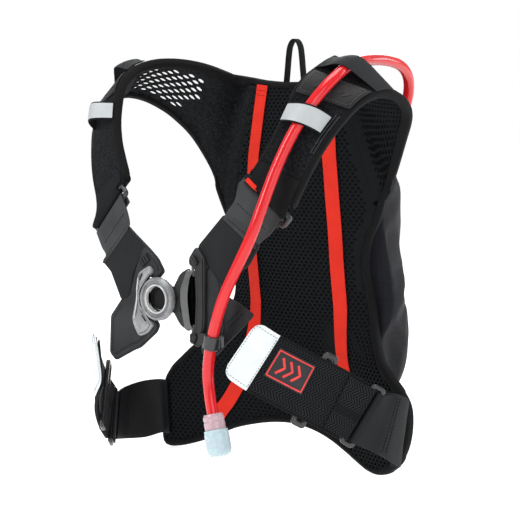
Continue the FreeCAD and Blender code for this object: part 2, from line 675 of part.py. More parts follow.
pad(b, sk, "button_thick", "button_pad", rev=True)

VBOW = [(17.4, 199.1), (9.5, 181.5), (9.2, 169.5), (15.0, 144.6), (26.2, 144.6), (26.2, 149.0), (19.5, 149.0), (17.6, 170.2), (17.6, 179.4),
        (19.4, 194.2), (26.2, 194.2), (26.2, 199.1)]
TR_X, TR_Y = 24.2, -180.5     # axis of the tongue's two trunnions


def bow_plate(name, pts, y_front, thick):
    b = doc.addObject("PartDesign::Body", name)
    b.Placement = DROP.multiply(frame((0, y_front, 0), (0, -1, 0), (1, 0, 0)))
    sk = new_sketch(b, name + "_outline")
    outline(sk, pts)
    pad(b, sk, thick, name + "_pad", rev=True)
    return b


def upright_pin(name, z0, z1, radius):
    o = doc.addObject("Part::Cylinder", name)
    o.setExpression("Radius", radius)
    o.Height = z1 - z0
    o.Placement = DROP.multiply(FreeCAD.Placement(V(TR_X, TR_Y, z0), FreeCAD.Rotation()))
    return o


tb = doc.addObject("Part::MultiFuse", "tongue_bow")
tb.Shapes = [bow_plate("bow_plate", VBOW, -182.0, "plate_thick"), upright_pin("trunnion_top", 198.0, 207.0, "Sheet.trunnion_radius"),
             upright_pin("trunnion_bottom", 136.5, 145.5, "Sheet.trunnion_radius")]
keep(tb, "tongue_bow")
BASE = [(29.4, 222.1), (40.3, 210.8), (40.2, 187.0), (40.1, 148.5), (31.5, 128.3), (21.6, 134.0), (21.4, 141.0), (27.6, 143.8),
        (29.6, 172.5), (27.8, 201.6), (21.0, 204.5), (20.6, 210.5)]
base_plate = bow_plate("base_plate", BASE, -182.6, "base_thick")
sockets = doc.addObject("Part::MultiFuse", "trunnion_sockets")
sockets.Shapes = [upright_pin("socket_top", 200.0, 208.0, "Sheet.trunnion_radius + 0.15"), upright_pin("socket_bottom", 135.5, 144.5, "Sheet.trunnion_radius + 0.15")]
bs = doc.addObject("Part::Cut", "tongue_base"); bs.Base = base_plate; bs.Tool = sockets
keep(bs, "tongue_base")
# ---------------------------------------------------------------- hose
PX = V(*PORT_AT)
EXIT = PX + PORT_DIR * 15.0
JOIN = PX + PORT_DIR * 6.0
ROUTE = [tuple(JOIN), tuple(PX + PORT_DIR * 27.0), (114.3, 31.5, 368.3), (121.0, 18.0, 380.5), (126.0, -1.5, 388.3),
         (128.3, -25.5, 391.6), (130.2, -49, 391.8), (134.0, -74.0, 390.2), (138.5, -96.4, 385.8), (140.0, -117.4, 376.5),
         (136.5, -135, 362), (129.3, -148.6, 343.5), (120.5, -160.0, 319.5), (113.5, -171.5, 291.5), (108.0, -181.5, 262.0),
         (100.5, -188.5, 233.0), (87.0, -192.5, 205.5), (72.5, -194.0, 179.0), (63.0, -194.5, 151.5), (55.0, -193.5, 124.0),
         (52.5, -192.5, 97.0), (60.0, -193.0, 69.0)]


def arcs_path(P, report=""):
    P = [V(*p) for p in P]
    n = len(P)
    cut = [0.0] * n
    rad = [0.0] * n
    for i in range(1, n - 1):
        a, c = P[i] - P[i - 1], P[i + 1] - P[i]
        la, lc = a.Length, c.Length
        half = a.getAngle(c) / 2
        cut[i] = 0.45 * min(la, lc)
        rad[i] = cut[i] / math.tan(half)
    edges = []
    length = 0.0
    last = P[0]
    for i in range(1, n - 1):
        d0 = (P[i] - P[i - 1]); d0.normalize()
        d1 = (P[i + 1] - P[i]); d1.normalize()
        a = P[i] - d0 * cut[i]
        c = P[i] + d1 * cut[i]
        e = Part.LineSegment(last, a).toShape()
        edges.append(e); length += e.Length
        bis = d1 - d0; bis.normalize()
        half = d0.getAngle(d1) / 2
        cen = P[i] + bis * (rad[i] / math.cos(half))
        m = cen - bis * rad[i]
        e = Part.Arc(a, m, c).toShape()
        edges.append(e); length += e.Length
        last = c
    e = Part.LineSegment(last, P[-1]).toShape()
    edges.append(e); length += e.Length
    if report:
        print(report, "length %.1f" % length, "radii", ["%.0f" % r for r in rad[1:-1]],
              "runs", ["%.0f" % (P[i + 1] - P[i]).Length for i in range(n - 1)])
    return Part.Wire(edges), length, P


def tube(P, r, report=""):
    path, length, P = arcs_path(P, report)
    d = P[1] - P[0]
    prof = Part.Wire([Part.Circle(P[0], d, r).toShape()])
    sh = path.makePipeShell([prof], True, False)
    want = math.pi * r * r * length
    assert abs(sh.Volume - want) < 0.01 * want, "%s volume %.1f, section x length %.1f" % (report, sh.Volume, want)
    return sh, length


hose, hose_len = tube(ROUTE, S("tube_radius"), "hose")
feature("hose_over_shoulder", biggest(hose.cut(ZONE[1][1])))
feature("drinking_hose", biggest(hose.common(ZONE[1][0])))
COUP = (38.0, 54.0, 150.0)      # top mouth of the quick coupling
INROUTE = [(38.0, 54.0, 150.0), (38.0, 54.0, 180.0), (42.0, 53.0, 215.0), (51.0, 52.0, 250.0), (63.5, 51.2, 280.0), tuple(PX - PORT_DIR * 27.0), tuple(JOIN)]
feeder, feeder_len = tube(INROUTE, S("tube_radius"), "feeder")
feature("feeder_hose", feeder)

# rubber port in the top corner of the pack body
port = doc.addObject("Part::Cylinder", "port_outer")
port.Radius = S("port_radius"); port.setExpression("Radius", "Sheet.port_radius")
port.Height = S("port_length"); port.setExpression("Height", "Sheet.port_length")
bore = doc.addObject("Part::Cylinder", "port_bore")
bore.setExpression("Radius", "Sheet.tube_radius + 0.35")
bore.setExpression("Height", "Sheet.port_length + 10")
bore.Placement = FreeCAD.Placement(V(0, 0, -5), FreeCAD.Rotation())
pc = doc.addObject("Part::Cut", "hose_port"); pc.Base = port; pc.Tool = bore
pb = PX - PORT_DIR * 9.0
pc.Placement = DROP.multiply(frame(tuple(pb), tuple(PORT_DIR), (1, 0, 0)))
keep(pc, "hose_port")

# ---------------------------------------------------------------- reservoir and its fittings
b = new_body("reservoir_bladder", frame((0, 17.0, 172.0), (0, 1, 0), (1, 0, 0)))
sk = new_sketch(b, "bladder_plan"); rect(sk, "bladder_width", "bladder_height")
pad(b, sk, "bladder_thick", "bladder_pad")
fillet(b, 22.0, "bladder_corners", upright)
fillet(b, 9.0, "bladder_rims", lambda e: abs(e.BoundBox.ZLength) < 1e-6)
b = new_body("reservoir_closure_bar", frame((0, 29.0, 284.0), (0, 1, 0), (1, 0, 0)))
sk = new_sketch(b, "bar_plan"); rect(sk, "bar_length", "bar_height")
pad(b, sk, "bar_depth", "bar_pad", mid=True)
fillet(b, 3.0, "bar_corners", upright)
# hanger: webbing loop from the liner's top edge down to the bar
hk = doc.addObject("Part::Box", "hanger_strap_box")
hk.Length = 22; hk.Width = 3; hk.Height = 42
hk.Placement = DROP.multiply(FreeCAD.Placement(V(-11, 26, 291.2), FreeCAD.Rotation()))
keep(hk, "reservoir_hanger")
b = new_body("quick_coupling", frame((38.0, 54.0, 150.0 - 20.0 - S("coupling_length")), (0, 0, 1), (1, 0, 0)))
R0 = S("coupling_radius")
L0 = S("coupling_length")
revolve(b, "coupling_body", [(0, -8), (3.6, -8), (3.6, -3), (R0 - 1.8, -3), (R0 - 1.8, 0), (R0, 1.5), (R0, L0 - 2), (R0 - 2, L0),
                             (R0 - 2, L0 + 6), (5.0, L0 + 8), (5.0, L0 + 20), (0, L0 + 20)])
# seat for the side key
sk = new_sketch(b, "key_seat", "XZ_Plane", z=0)
sk.AttachmentOffset = FreeCAD.Placement(V(0, 0, -(R0 + 1)), FreeCAD.Rotation())
outline(sk, [(-5.0, 6.0), (5.0, 6.0), (5.0, 21.0), (-5.0, 21.0)])
kp = b.newObject("PartDesign::Pocket", "key_seat_cut")
kp.Profile = sk
kp.Length = 7.0
kp.Reversed = True
v0 = b.Shape.Volume
doc.recompute()
if not b.Shape.Volume < v0 - 1.0:
    kp.Reversed = False
    doc.recompute()
assert b.Shape.Volume < v0 - 1.0, "key seat cut nothing"
b = new_body("coupling_key", frame((38.0, 54.0 + R0 - 0.4, 150.0 - 20.0 - L0 + 13.5), (0, 1, 0), (1, 0, 0)))
sk = new_sketch(b, "key_plan"); rect(sk, "key_width", "key_height")
pad(b, sk, "key_depth", "key_pad", mid=True)
fillet(b, 1.5, "key_corners", upright)

# ---------------------------------------------------------------- bite valve on the end of the hose
TIP = V(*ROUTE[-1])
AX = TIP - V(*ROUTE[-2]); AX.normalize()
pl = frame(tuple(TIP - AX * 9.0), tuple(AX), (1, 0, 0))
RT = S("tube_radius")
CL = S("collar_length")
b = new_body("valve_collar", pl)
revolve(b, "collar_body", [(RT + 0.15, 0), (8.6, 0), (9.6, 2.0), (9.6, CL - 3.5), (8.2, CL - 2.5), (8.2, CL), (3.4, CL), (3.4, 9.3), (RT + 0.15, 9.3)])
b = new_body("bite_piece", pl)
VL = S("valve_length")
revolve(b, "bite_body", [(2.2, CL + 0.2), (8.2, CL + 0.2), (8.6, CL + 5), (7.8, CL + 10), (7.2, CL + VL - 6), (6.0, CL + VL - 3.5), (2.2, CL + VL - 3.5)])
b = new_body("valve_cover", pl)
CR = S("cover_radius")
revolve(b, "cover_body", [(9.85, CL - 6), (CR - 1.0, CL - 6), (CR, CL - 2), (CR, CL + VL - 6), (CR - 2.5, CL + VL - 1), (4.0, CL + VL + 0.5), (0, CL + VL + 0.5),
                          (0, CL + VL - 1.5), (6.5, CL + VL - 1.5), (9.85, CL + VL - 8)])

# ---------------------------------------------------------------- hose clip on the lower tail of the left chest wing
CLP = V(59.0, -194.0, 137.75)
cd = V(-8.0, 1.0, -27.5); cd.normalize()
b = new_body("hose_clip", frame(tuple(CLP - cd * (S("clip_width") / 2)), tuple(cd), (1, 0, 0)))
rr = RT + 0.3
sk = new_sketch(b, "clip_ring")
sk.addGeometry(Part.Circle(V(0, 0, 0), V(0, 0, 1), rr + S("clip_wall")), False)
sk.addConstraint(Sketcher.Constraint("Coincident", 0, 3, -1, 1))
c = sk.addConstraint(Sketcher.Constraint("Radius", 0, rr + S("clip_wall")))
sk.setExpression("Constraints[%d]" % c, "Sheet.tube_radius + 0.3 + Sheet.clip_wall")
pad(b, sk, "clip_width", "clip_ring_pad")
sk = new_sketch(b, "clip_foot")
outline(sk, [(-15.0, 8.0), (13.0, 8.0), (13.0, 11.0), (-15.0, 11.0)])
# the foot lies against the wing on the +Y side of the hose
pad(b, sk, "clip_width", "clip_foot_pad")
sk = new_sketch(b, "clip_neck")
outline(sk, [(-4.5, 3.0), (4.5, 3.0), (4.5, 9.0), (-4.5, 9.0)])
pad(b, sk, "clip_width", "clip_neck_pad")
sk = new_sketch(b, "clip_bore")
sk.addGeometry(Part.Circle(V(0, 0, 0), V(0, 0, 1), rr), False)
sk.addConstraint(Sketcher.Constraint("Coincident", 0, 3, -1, 1))
c = sk.addConstraint(Sketcher.Constraint("Radius", 0, rr))
sk.setExpression("Constraints[%d]" % c, "Sheet.tube_radius + 0.3")
pocket(b, sk, "clip_width", "clip_bore_cut", rev=True)

# ---------------------------------------------------------------- waist straps
def wvec(run):
    r = V(*run); r.normalize()
    up = V(0, 0, 1) - r * r.z
    up.normalize()
    return up


WS = {1: [(85, -189, 136.5), (104, -176.5, 121.5), (124, -154, 104.5), (141, -128, 88), (154.5, -103.0, 71.5)],
      -1: [(-86, -189, 114.0), (-105, -176.5, 96.0), (-126, -154, 76), (-144, -128, 55), (-158.0, -103.0, 37.5)]}
for nm, side in (("left", 1), ("right", -1)):
    C = WS[side]
    top, bot = [], []
    for i, c in enumerate(C):
        a, d = C[max(0, i - 1)], C[min(len(C) - 1, i + 1)]
        up = wvec(vsub(d, a))
        top.append(tuple(V(*c) + up * 29.0)); bot.append(tuple(V(*c) - up * 29.0))
    rb = Ribbon(top, bot, flip=float(side))
    th = S("strap_sheet")
    test = rb.at(2.0, 0.5, 5.0) - rb.at(2.0, 0.5, 0.0)
    if V(side * 0.7, -0.7, 0).dot(test) < 0:
        rb.flip = -rb.flip
    feature("waist_strap_" + nm, slab(rb, 0.62, 3.86, 0.0, 1.0, -th / 2, th / 2, 8))
    feature("waist_tab_" + nm, slab(rb, 0.10, 1.02, 0.0, 1.0, th / 2 + 0.3, th / 2 + 0.3 + S("tab_thick"), 4))
    # inner elastic strap from the chest wing, ending at the hidden slider loop
    feature("waist_elastic_" + nm, slab(rb, 0.62, 2.35, 0.06, 0.94, -th / 2 - 0.6 - 2.0, -th / 2 - 0.6, 6))
    # slider loop under the mesh strap, wider than it so its two ends show
    p_t, p_b = rb.at(2.62, -0.045, -th / 2 - 3.6), rb.at(2.62, 1.045, -th / 2 - 3.6)
    run = rb.at(2.9, 0.5, 0) - rb.at(2.3, 0.5, 0)
    strap_loop("waist_slider_" + nm, tuple((p_t + p_b) * 0.5), tuple(p_b - p_t), tuple(run), "slider_span", "slider_slot")
    if side == 1:
        feature("waist_label", slab(rb, 1.20, 2.28, 0.16, 0.66, th / 2 + 0.25, th / 2 + 0.25 + S("label_thick"), 4))

# webbing between the wings of the panel and the waist loops
WEB = {1: [((165, -86, 91), (150, -106, 43)), ((171, -64, 88), (161, -78, 28)), ((168.5, -44, 81), (157, -50, 15)), ((159, -31.5, 73), (150, -31, 8)), ((148, -29.9, 73), (139, -29.8, 8))],
       -1: [((-167, -86, 58), (-153, -106, 10)), ((-171, -64, 62), (-165, -78, 5)), ((-168, -44, 65), (-161, -50, 3)), ((-159, -31.5, 66), (-155, -31.3, 6)), ((-148, -30.2, 66), (-144, -30.2, 6))]}
for nm, side in (("left", 1), ("right", -1)):
    st = WEB[side]
    rb = Ribbon([p[0] for p in st], [p[1] for p in st])
    test = rb.at(1.0, 0.5, 5.0) - rb.at(1.0, 0.5, 0.0)
    if V(side * 1.0, 0, 0).dot(test) < 0:
        rb.flip = -rb.flip
    full = slab(rb, 0.34, 4.0, 0.03, 0.97, -S("web_thick") / 2, S("web_thick") / 2, 14)
    feature("wing_webbing_" + nm, biggest(full.cut(ZONE[side][1])))
    feature("waist_webbing_" + nm, biggest(full.common(ZONE[side][0])))

# ---------------------------------------------------------------- check and write
doc.recompute()
bad = []
for o in doc.Objects:
    if "Invalid" in o.State or "Error" in o.State:
        bad.append((o.Name, o.State))
for n, o in NODES.items():
    sh = o.Shape
    if sh.isNull() or not sh.isValid() or not sh.Solids:
        bad.append((n, "bad shape"))
    elif sh.Volume < 5:
        bad.append((n, "volume %.2f" % sh.Volume))
print("nodes", len(NODES), "bad", bad)
assert not bad, bad
os.makedirs("parts", exist_ok=True)
for n, o in NODES.items():
    o.Shape.exportStep("parts/%s.step" % n)
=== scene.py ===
import bpy, bmesh, math
import numpy as np
from mathutils import Vector, Matrix, noise


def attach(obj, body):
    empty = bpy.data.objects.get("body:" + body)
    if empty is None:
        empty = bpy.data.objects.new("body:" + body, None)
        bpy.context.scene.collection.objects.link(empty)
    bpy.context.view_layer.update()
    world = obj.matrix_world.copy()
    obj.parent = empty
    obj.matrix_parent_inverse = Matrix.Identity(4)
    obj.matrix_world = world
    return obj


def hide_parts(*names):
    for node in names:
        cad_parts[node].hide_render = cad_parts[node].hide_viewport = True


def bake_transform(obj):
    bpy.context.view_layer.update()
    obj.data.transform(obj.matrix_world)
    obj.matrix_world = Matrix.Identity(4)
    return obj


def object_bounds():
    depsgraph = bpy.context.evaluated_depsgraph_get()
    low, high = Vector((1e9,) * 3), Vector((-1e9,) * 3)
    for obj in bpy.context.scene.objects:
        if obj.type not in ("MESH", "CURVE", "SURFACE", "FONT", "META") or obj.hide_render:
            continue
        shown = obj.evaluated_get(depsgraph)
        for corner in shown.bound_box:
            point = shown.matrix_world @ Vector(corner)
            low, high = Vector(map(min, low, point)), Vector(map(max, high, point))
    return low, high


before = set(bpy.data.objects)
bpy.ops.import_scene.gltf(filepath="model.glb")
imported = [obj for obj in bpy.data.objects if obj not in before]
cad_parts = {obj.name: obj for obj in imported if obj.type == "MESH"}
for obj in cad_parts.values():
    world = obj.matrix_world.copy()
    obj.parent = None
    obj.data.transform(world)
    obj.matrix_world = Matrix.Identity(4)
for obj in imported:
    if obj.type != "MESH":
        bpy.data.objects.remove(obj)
CAD_LO, CAD_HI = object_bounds()
scene = bpy.context.scene
ORG = np.array([0.0, 0.0, 200.0])      # lengths below are in mm, with Z = 0 at the wing tips


def M(p):
    return (np.asarray(p, float) - ORG) * 0.001


# ============================================================ camera, light, floor
def camera():
    az, el, dist = math.radians(40.0), math.radians(5.0), 1.85
    back = Vector((math.sin(az) * math.cos(el), -math.cos(az) * math.cos(el), math.sin(el)))
    target = Vector((-0.021, -0.031, -0.0035))
    cam = bpy.data.cameras.new("camera")
    cam.lens = 129.2
    cam.sensor_width = 36.0
    cam.clip_start, cam.clip_end = 0.05, 60.0
    o = bpy.data.objects.new("camera", cam)
    o.location = target + back * dist
    o.rotation_mode = "QUATERNION"
    o.rotation_quaternion = (-back).to_track_quat("-Z", "Y")
    scene.collection.objects.link(o)
    scene.camera = o


def area(name, loc, aim, size, power, color=(1, 1, 1), size_y=None):
    d = bpy.data.lights.new(name, "AREA")
    d.energy, d.size, d.color = power, size, color
    if size_y:
        d.shape, d.size_y = "RECTANGLE", size_y
    o = bpy.data.objects.new(name, d)
    o.location = loc
    o.rotation_mode = "QUATERNION"
    o.rotation_quaternion = (Vector(aim) - Vector(loc)).to_track_quat("-Z", "Y")
    scene.collection.objects.link(o)


def stage():
    area("key", (-0.75, -2.1, 1.35), (0, -0.05, 0.0), 0.9, 30, size_y=1.5)
    area("fill", (2.3, -1.1, 0.9), (0, 0, 0), 1.6, 16)
    area("top", (0.1, 0.1, 2.0), (0, 0, 0), 1.4, 26)
    area("rim", (-1.3, 1.5, 1.1), (0, 0, 0.05), 1.1, 20)
    area("back", (1.3, 1.7, 0.8), (0, 0, 0.0), 1.1, 14)
    w = bpy.data.worlds.new("studio")
    scene.world = w
    w.use_nodes = True
    bg = w.node_tree.nodes["Background"]
    bg.inputs[0].default_value = (1, 1, 1, 1)
    lp = w.node_tree.nodes.new("ShaderNodeLightPath")
    mr = w.node_tree.nodes.new("ShaderNodeMapRange")
    mr.inputs[3].default_value, mr.inputs[4].default_value = 0.34, 1.0
    w.node_tree.links.new(lp.outputs["Is Camera Ray"], mr.inputs[0])
    w.node_tree.links.new(mr.outputs[0], bg.inputs[1])
    me = bpy.data.meshes.new("floor")
    s, z = 14.0, CAD_LO.z - 0.0015
    me.from_pydata([(-s, -s, z), (s, -s, z), (s, s, z), (-s, s, z)], [], [(0, 1, 2, 3)])
    o = bpy.data.objects.new("floor", me)
    scene.collection.objects.link(o)
    mat = bpy.data.materials.new("floor_white")
    mat.use_nodes = True
    b = mat.node_tree.nodes["Principled BSDF"]
    b.inputs["Base Color"].default_value = (0.5, 0.5, 0.5, 1)
    b.inputs["Roughness"].default_value = 0.9
    b.inputs["Specular IOR Level"].default_value = 0.1
    b.inputs["Emission Color"].default_value = (1, 1, 1, 1)
    b.inputs["Emission Strength"].default_value = 0.83
    me.materials.append(mat)
    scene.view_settings.view_transform = "Standard"


camera()
stage()


# ============================================================ materials
class Mat:
    """Small node-graph writer for one Principled material."""

    def __init__(self, name, color, rough=0.6, spec=0.5, metal=0.0, coords="UV"):
        self.m = bpy.data.materials.new(name)
        self.m.use_nodes = True
        self.m.diffuse_color = (*color, 1)
        self.nt = self.m.node_tree
        self.b = self.nt.nodes["Principled BSDF"]
        self.b.inputs["Base Color"].default_value = (*color, 1)
        self.b.inputs["Roughness"].default_value = rough
        self.b.inputs["Specular IOR Level"].default_value = spec
        self.b.inputs["Metallic"].default_value = metal
        self.color = color
        tc = self.nt.nodes.new("ShaderNodeTexCoord")
        self.obj = self.vec("SCALE", tc.outputs["Object"], 1000.0)
        self.uv = tc.outputs["UV"] if coords == "UV" else self.obj
        sp = self.nt.nodes.new("ShaderNodeSeparateXYZ")
        self.nt.links.new(self.uv, sp.inputs[0])
        self.x, self.y, self.z = sp.outputs[0], sp.outputs[1], sp.outputs[2]

    def put(self, sock, val):
        if hasattr(val, "links"):
            self.nt.links.new(val, sock)
        else:
            sock.default_value = val

    def vec(self, op, a, k):
        n = self.nt.nodes.new("ShaderNodeVectorMath")
        n.operation = op
        self.nt.links.new(a, n.inputs[0])
        n.inputs["Scale"].default_value = k
        return n.outputs[0]

    def math(self, op, a, b=0.0, c=0.0, clamp=False):
        n = self.nt.nodes.new("ShaderNodeMath")
        n.operation = op
        n.use_clamp = clamp
        self.put(n.inputs[0], a)
        self.put(n.inputs[1], b)
        self.put(n.inputs[2], c)
        return n.outputs[0]

    def sin(self, a, period, phase=0.0):
        return self.math("SINE", self.math("MULTIPLY_ADD", a, 2 * math.pi / period, phase))

    def noise(self, scale, detail=3.0, rough=0.55, obj=True, stretch=None):
        n = self.nt.nodes.new("ShaderNodeTexNoise")
        n.inputs["Scale"].default_value = scale
        n.inputs["Detail"].default_value = detail
        n.inputs["Roughness"].default_value = rough
        src = self.obj if obj else self.uv
        if stretch:
            mp = self.nt.nodes.new("ShaderNodeMapping")
            mp.inputs["Scale"].default_value = stretch
            self.nt.links.new(src, mp.inputs[0])
            src = mp.outputs[0]
        self.nt.links.new(src, n.inputs["Vector"])
        return n.outputs["Fac"]

    def voronoi(self, scale, obj=True, feature="F1"):
        n = self.nt.nodes.new("ShaderNodeTexVoronoi")
        n.feature = feature
        n.inputs["Scale"].default_value = scale
        self.nt.links.new(self.obj if obj else self.uv, n.inputs["Vector"])
        return n.outputs["Distance"]

    def ramp(self, f, stops):
        n = self.nt.nodes.new("ShaderNodeValToRGB")
        self.nt.links.new(f, n.inputs[0])
        el = n.color_ramp.elements
        while len(el) < len(stops):
            el.new(0.5)
        for e, (p, c) in zip(el, stops):
            e.position = p
            e.color = (*c, 1)
        return n.outputs[0]

    def span(self, f, a0, a1, b0, b1):
        n = self.nt.nodes.new("ShaderNodeMapRange")
        n.inputs[1].default_value, n.inputs[2].default_value = a0, a1
        n.inputs[3].default_value, n.inputs[4].default_value = b0, b1
        self.nt.links.new(f, n.inputs[0])
        return n.outputs[0]

    def mix(self, f, a, b, mode="MIX"):
        n = self.nt.nodes.new("ShaderNodeMix")
        n.data_type = "RGBA"
        n.blend_type = mode
        self.put(n.inputs[0], f)
        for i, v in ((6, a), (7, b)):
            if hasattr(v, "links"):
                self.nt.links.new(v, n.inputs[i])
            else:
                n.inputs[i].default_value = (*v, 1)
        return n.outputs[2]

    def bump(self, h, dist=0.0003, strength=1.0, prev=None):
        n = self.nt.nodes.new("ShaderNodeBump")
        n.inputs["Strength"].default_value = strength
        n.inputs["Distance"].default_value = dist
        self.nt.links.new(h, n.inputs["Height"])
        if prev is not None:
            self.nt.links.new(prev, n.inputs["Normal"])
        return n.outputs[0]

    def out(self, color=None, normal=None, rough=None):
        if color is not None:
            self.nt.links.new(color, self.b.inputs["Base Color"])
        if normal is not None:
            self.nt.links.new(normal, self.b.inputs["Normal"])
        if rough is not None:
            self.nt.links.new(rough, self.b.inputs["Roughness"])
        return self

    def set(self, **kw):
        for k, v in kw.items():
            self.b.inputs[k.replace("_", " ")].default_value = v
        return self


def shade(c, k):
    return tuple(min(1.0, v * k) for v in c)


def cloth_mat(name, col, kind="plain", a=1.2, b=1.2, rough=0.82, sheen=0.25, bump=0.25, coords="UV", spec=0.25, dark=0.45, light=1.5, mottle=0.0):
    """Woven or knitted cloth; a and b are the thread periods in mm along and across."""
    m = Mat(name, col, rough, spec, coords=coords)
    x, y = m.x, m.y
    if kind == "plain":
        h = m.math("MULTIPLY_ADD", m.math("MULTIPLY", m.sin(x, a), m.sin(y, b)), 0.5, 0.5)
    elif kind == "rib":          # ribs that run across the tape, with the fine threads along it
        r = m.math("ABSOLUTE", m.sin(x, 2 * a))
        f = m.math("MULTIPLY_ADD", m.sin(y, b), 0.18, 0.0)
        h = m.math("ADD", r, f)
    elif kind == "twill":
        h = m.math("MULTIPLY_ADD", m.sin(m.math("ADD", x, y), a), 0.5, 0.5)
    elif kind == "knit":
        c = m.math("ABSOLUTE", m.sin(y, 2 * b))
        r = m.math("MULTIPLY_ADD", m.sin(m.math("ADD", x, m.math("MULTIPLY", c, a * 0.45)), a), 0.5, 0.5)
        h = m.math("MULTIPLY", r, m.math("MULTIPLY_ADD", c, 0.7, 0.3))
    elif kind == "chevron":      # herringbone: a is the stripe period, b the width of one leg
        tri = m.math("PINGPONG", y, b)
        ph = m.math("ADD", x, m.math("MULTIPLY", tri, 0.85))
        s = m.math("MULTIPLY_ADD", m.sin(ph, a), 0.5, 0.5)
        dots = m.math("MULTIPLY_ADD", m.sin(y, 1.3), 0.22, 0.78)
        h = m.math("MULTIPLY", s, dots)
    else:
        h = m.noise(0.6, 4.0)
    n1 = m.noise(2.2, 3.0)
    n2 = m.noise(0.05, 2.0)
    hh = m.math("MULTIPLY_ADD", n1, 0.35, h)
    colr = m.mix(m.span(h, 0.1, 0.9, 0, 1), shade(col, dark), shade(col, light))
    colr = m.mix(m.span(n2, 0.35, 0.65, 0.0, 0.35), colr, shade(col, 0.75))
    if mottle:
        n3 = m.noise(0.42, 4.0, 0.7)
        colr = m.mix(m.span(n3, 0.46, 0.70, 0.0, mottle), colr, shade(col, 3.2))
        colr = m.mix(m.span(n3, 0.50, 0.34, 0.0, mottle), colr, shade(col, 0.25))
    m.out(colr, m.bump(hh, bump * 0.001), m.span(n1, 0.2, 0.8, rough - 0.08, min(1.0, rough + 0.08)))
    m.set(Sheen_Weight=sheen * 0.1, Sheen_Roughness=0.5, Specular_IOR_Level=spec * 0.4)
    m.b.inputs["Sheen Tint"].default_value = (0.75, 0.8, 0.85, 1)
    return m.m


def plastic_mat(name, col, rough=0.38, spec=0.5, grain=1.6, bump=0.03, coat=0.0, coords="OBJ", light=1.25):
    m = Mat(name, col, rough, spec, coords=coords)
    g = m.noise(grain, 4.0)
    w = m.noise(0.12, 2.0)
    c = m.mix(m.span(w, 0.35, 0.7, 0, 1), shade(col, 0.88), shade(col, light))
    m.out(c, m.bump(g, bump * 0.001), m.span(w, 0.3, 0.7, rough - 0.06, rough + 0.06))
    m.set(Coat_Weight=coat, Coat_Roughness=0.12)
    return m.m


BLK = (0.017, 0.018, 0.020)
MT = {}
MT["mesh"] = cloth_mat("spacer_mesh", (0.0062, 0.0075, 0.0090), "plain", 0.9, 0.9, 0.75, 0.35, 0.10)
MT["mesh_knit"] = cloth_mat("knit_mesh", (0.012, 0.013, 0.015), "knit", 3.6, 2.1, 0.85, 0.25, 0.55, dark=0.35, light=1.7)
MT["foam"] = cloth_mat("foam_black", (0.010, 0.010, 0.011), "noise", rough=0.95, sheen=0.05, bump=0.3, coords="OBJ")
MT["binding"] = cloth_mat("binding_tape", (0.0070, 0.0070, 0.0076), "rib", 0.8, 1.1, 0.8, 0.3, 0.08)
MT["brushed"] = cloth_mat("brushed_knit", (0.0080, 0.0090, 0.0105), "knit", 2.4, 1.5, 0.9, 0.3, 0.12, dark=0.6, light=1.5, mottle=0.7)
MT["webbing"] = cloth_mat("webbing_grey", (0.0165, 0.0180, 0.0195), "rib", 1.1, 0.9, 0.72, 0.3, 0.10)
MT["webdark"] = cloth_mat("webbing_black", (0.0085, 0.0092, 0.0100), "rib", 1.0, 0.9, 0.75, 0.25, 0.10)
MT["elastic"] = cloth_mat("elastic_grey", (0.024, 0.0255, 0.027), "rib", 1.3, 0.8, 0.78, 0.25, 0.08)
MT["satin"] = cloth_mat("elastic_satin", (0.0070, 0.0075, 0.0085), "rib", 1.5, 0.7, 0.5, 0.1, 0.05, spec=0.5)
MT["red_elastic"] = cloth_mat("red_elastic", (0.78, 0.034, 0.020), "rib", 0.9, 1.0, 0.7, 0.0, 0.06, dark=0.88, light=1.08)
MT["chevron"] = cloth_mat("chevron_mesh", (0.0095, 0.0105, 0.0120), "chevron", 3.1, 6.0, 0.8, 0.2, 0.3, dark=0.25, light=3.0)
MT["liner"] = cloth_mat("liner_cloth", (0.06, 0.062, 0.066), "plain", 0.6, 0.6, 0.6, 0.1, 0.05, coords="OBJ")


def hypalon(name, col, rough=0.55):
    m = Mat(name, col, rough, 0.22, coords="OBJ")
    g = m.voronoi(1.5)
    n = m.noise(0.9, 5.0, 0.65)
    w = m.noise(0.035, 2.0)
    c = m.mix(m.span(w, 0.35, 0.65, 0, 1), shade(col, 0.8), shade(col, 1.25))
    c = m.mix(m.span(g, 0.0, 0.9, 0.25, 0.0), c, shade(col, 0.55))
    h = m.math("MULTIPLY_ADD", n, 0.8, g)
    m.out(c, m.bump(h, 0.00005), m.span(n, 0.3, 0.7, rough - 0.08, rough + 0.1))
    return m.m


MT["hypalon"] = hypalon("hypalon_grey", (0.026, 0.028, 0.030))
MT["foldcloth"] = hypalon("fold_grey", (0.040, 0.043, 0.045))
MT["hypalon_dk"] = hypalon("hypalon_dark", (0.016, 0.017, 0.019))
MT["leather"] = hypalon("patch_leather", (0.020, 0.020, 0.021), 0.5)


def pack_cloth():
    m = Mat("pack_nylon", (0.007, 0.0075, 0.0105), 0.6, 0.16, coords="OBJ")
    s = m.math("MULTIPLY_ADD", m.math("MULTIPLY", m.sin(m.x, 0.55), m.sin(m.z, 0.55)), 0.5, 0.5)
    rx = m.math("GREATER_THAN", m.sin(m.x, 5.5), 0.975)
    rz = m.math("GREATER_THAN", m.sin(m.z, 5.5), 0.975)
    grid = m.math("MAXIMUM", rx, rz)
    n = m.noise(0.02, 3.0)
    c = m.mix(m.span(n, 0.3, 0.7, 0, 1), (0.0060, 0.0065, 0.0090), (0.0095, 0.0100, 0.0140))
    c = m.mix(m.math("MULTIPLY", grid, 0.3), c, (0.020, 0.021, 0.027))
    h = m.math("MULTIPLY_ADD", grid, 0.8, s)
    m.out(c, m.bump(h, 0.00006), m.span(n, 0.3, 0.7, 0.5, 0.64))
    m.set(Sheen_Weight=0.01)
    return m.m


MT["nylon"] = pack_cloth()


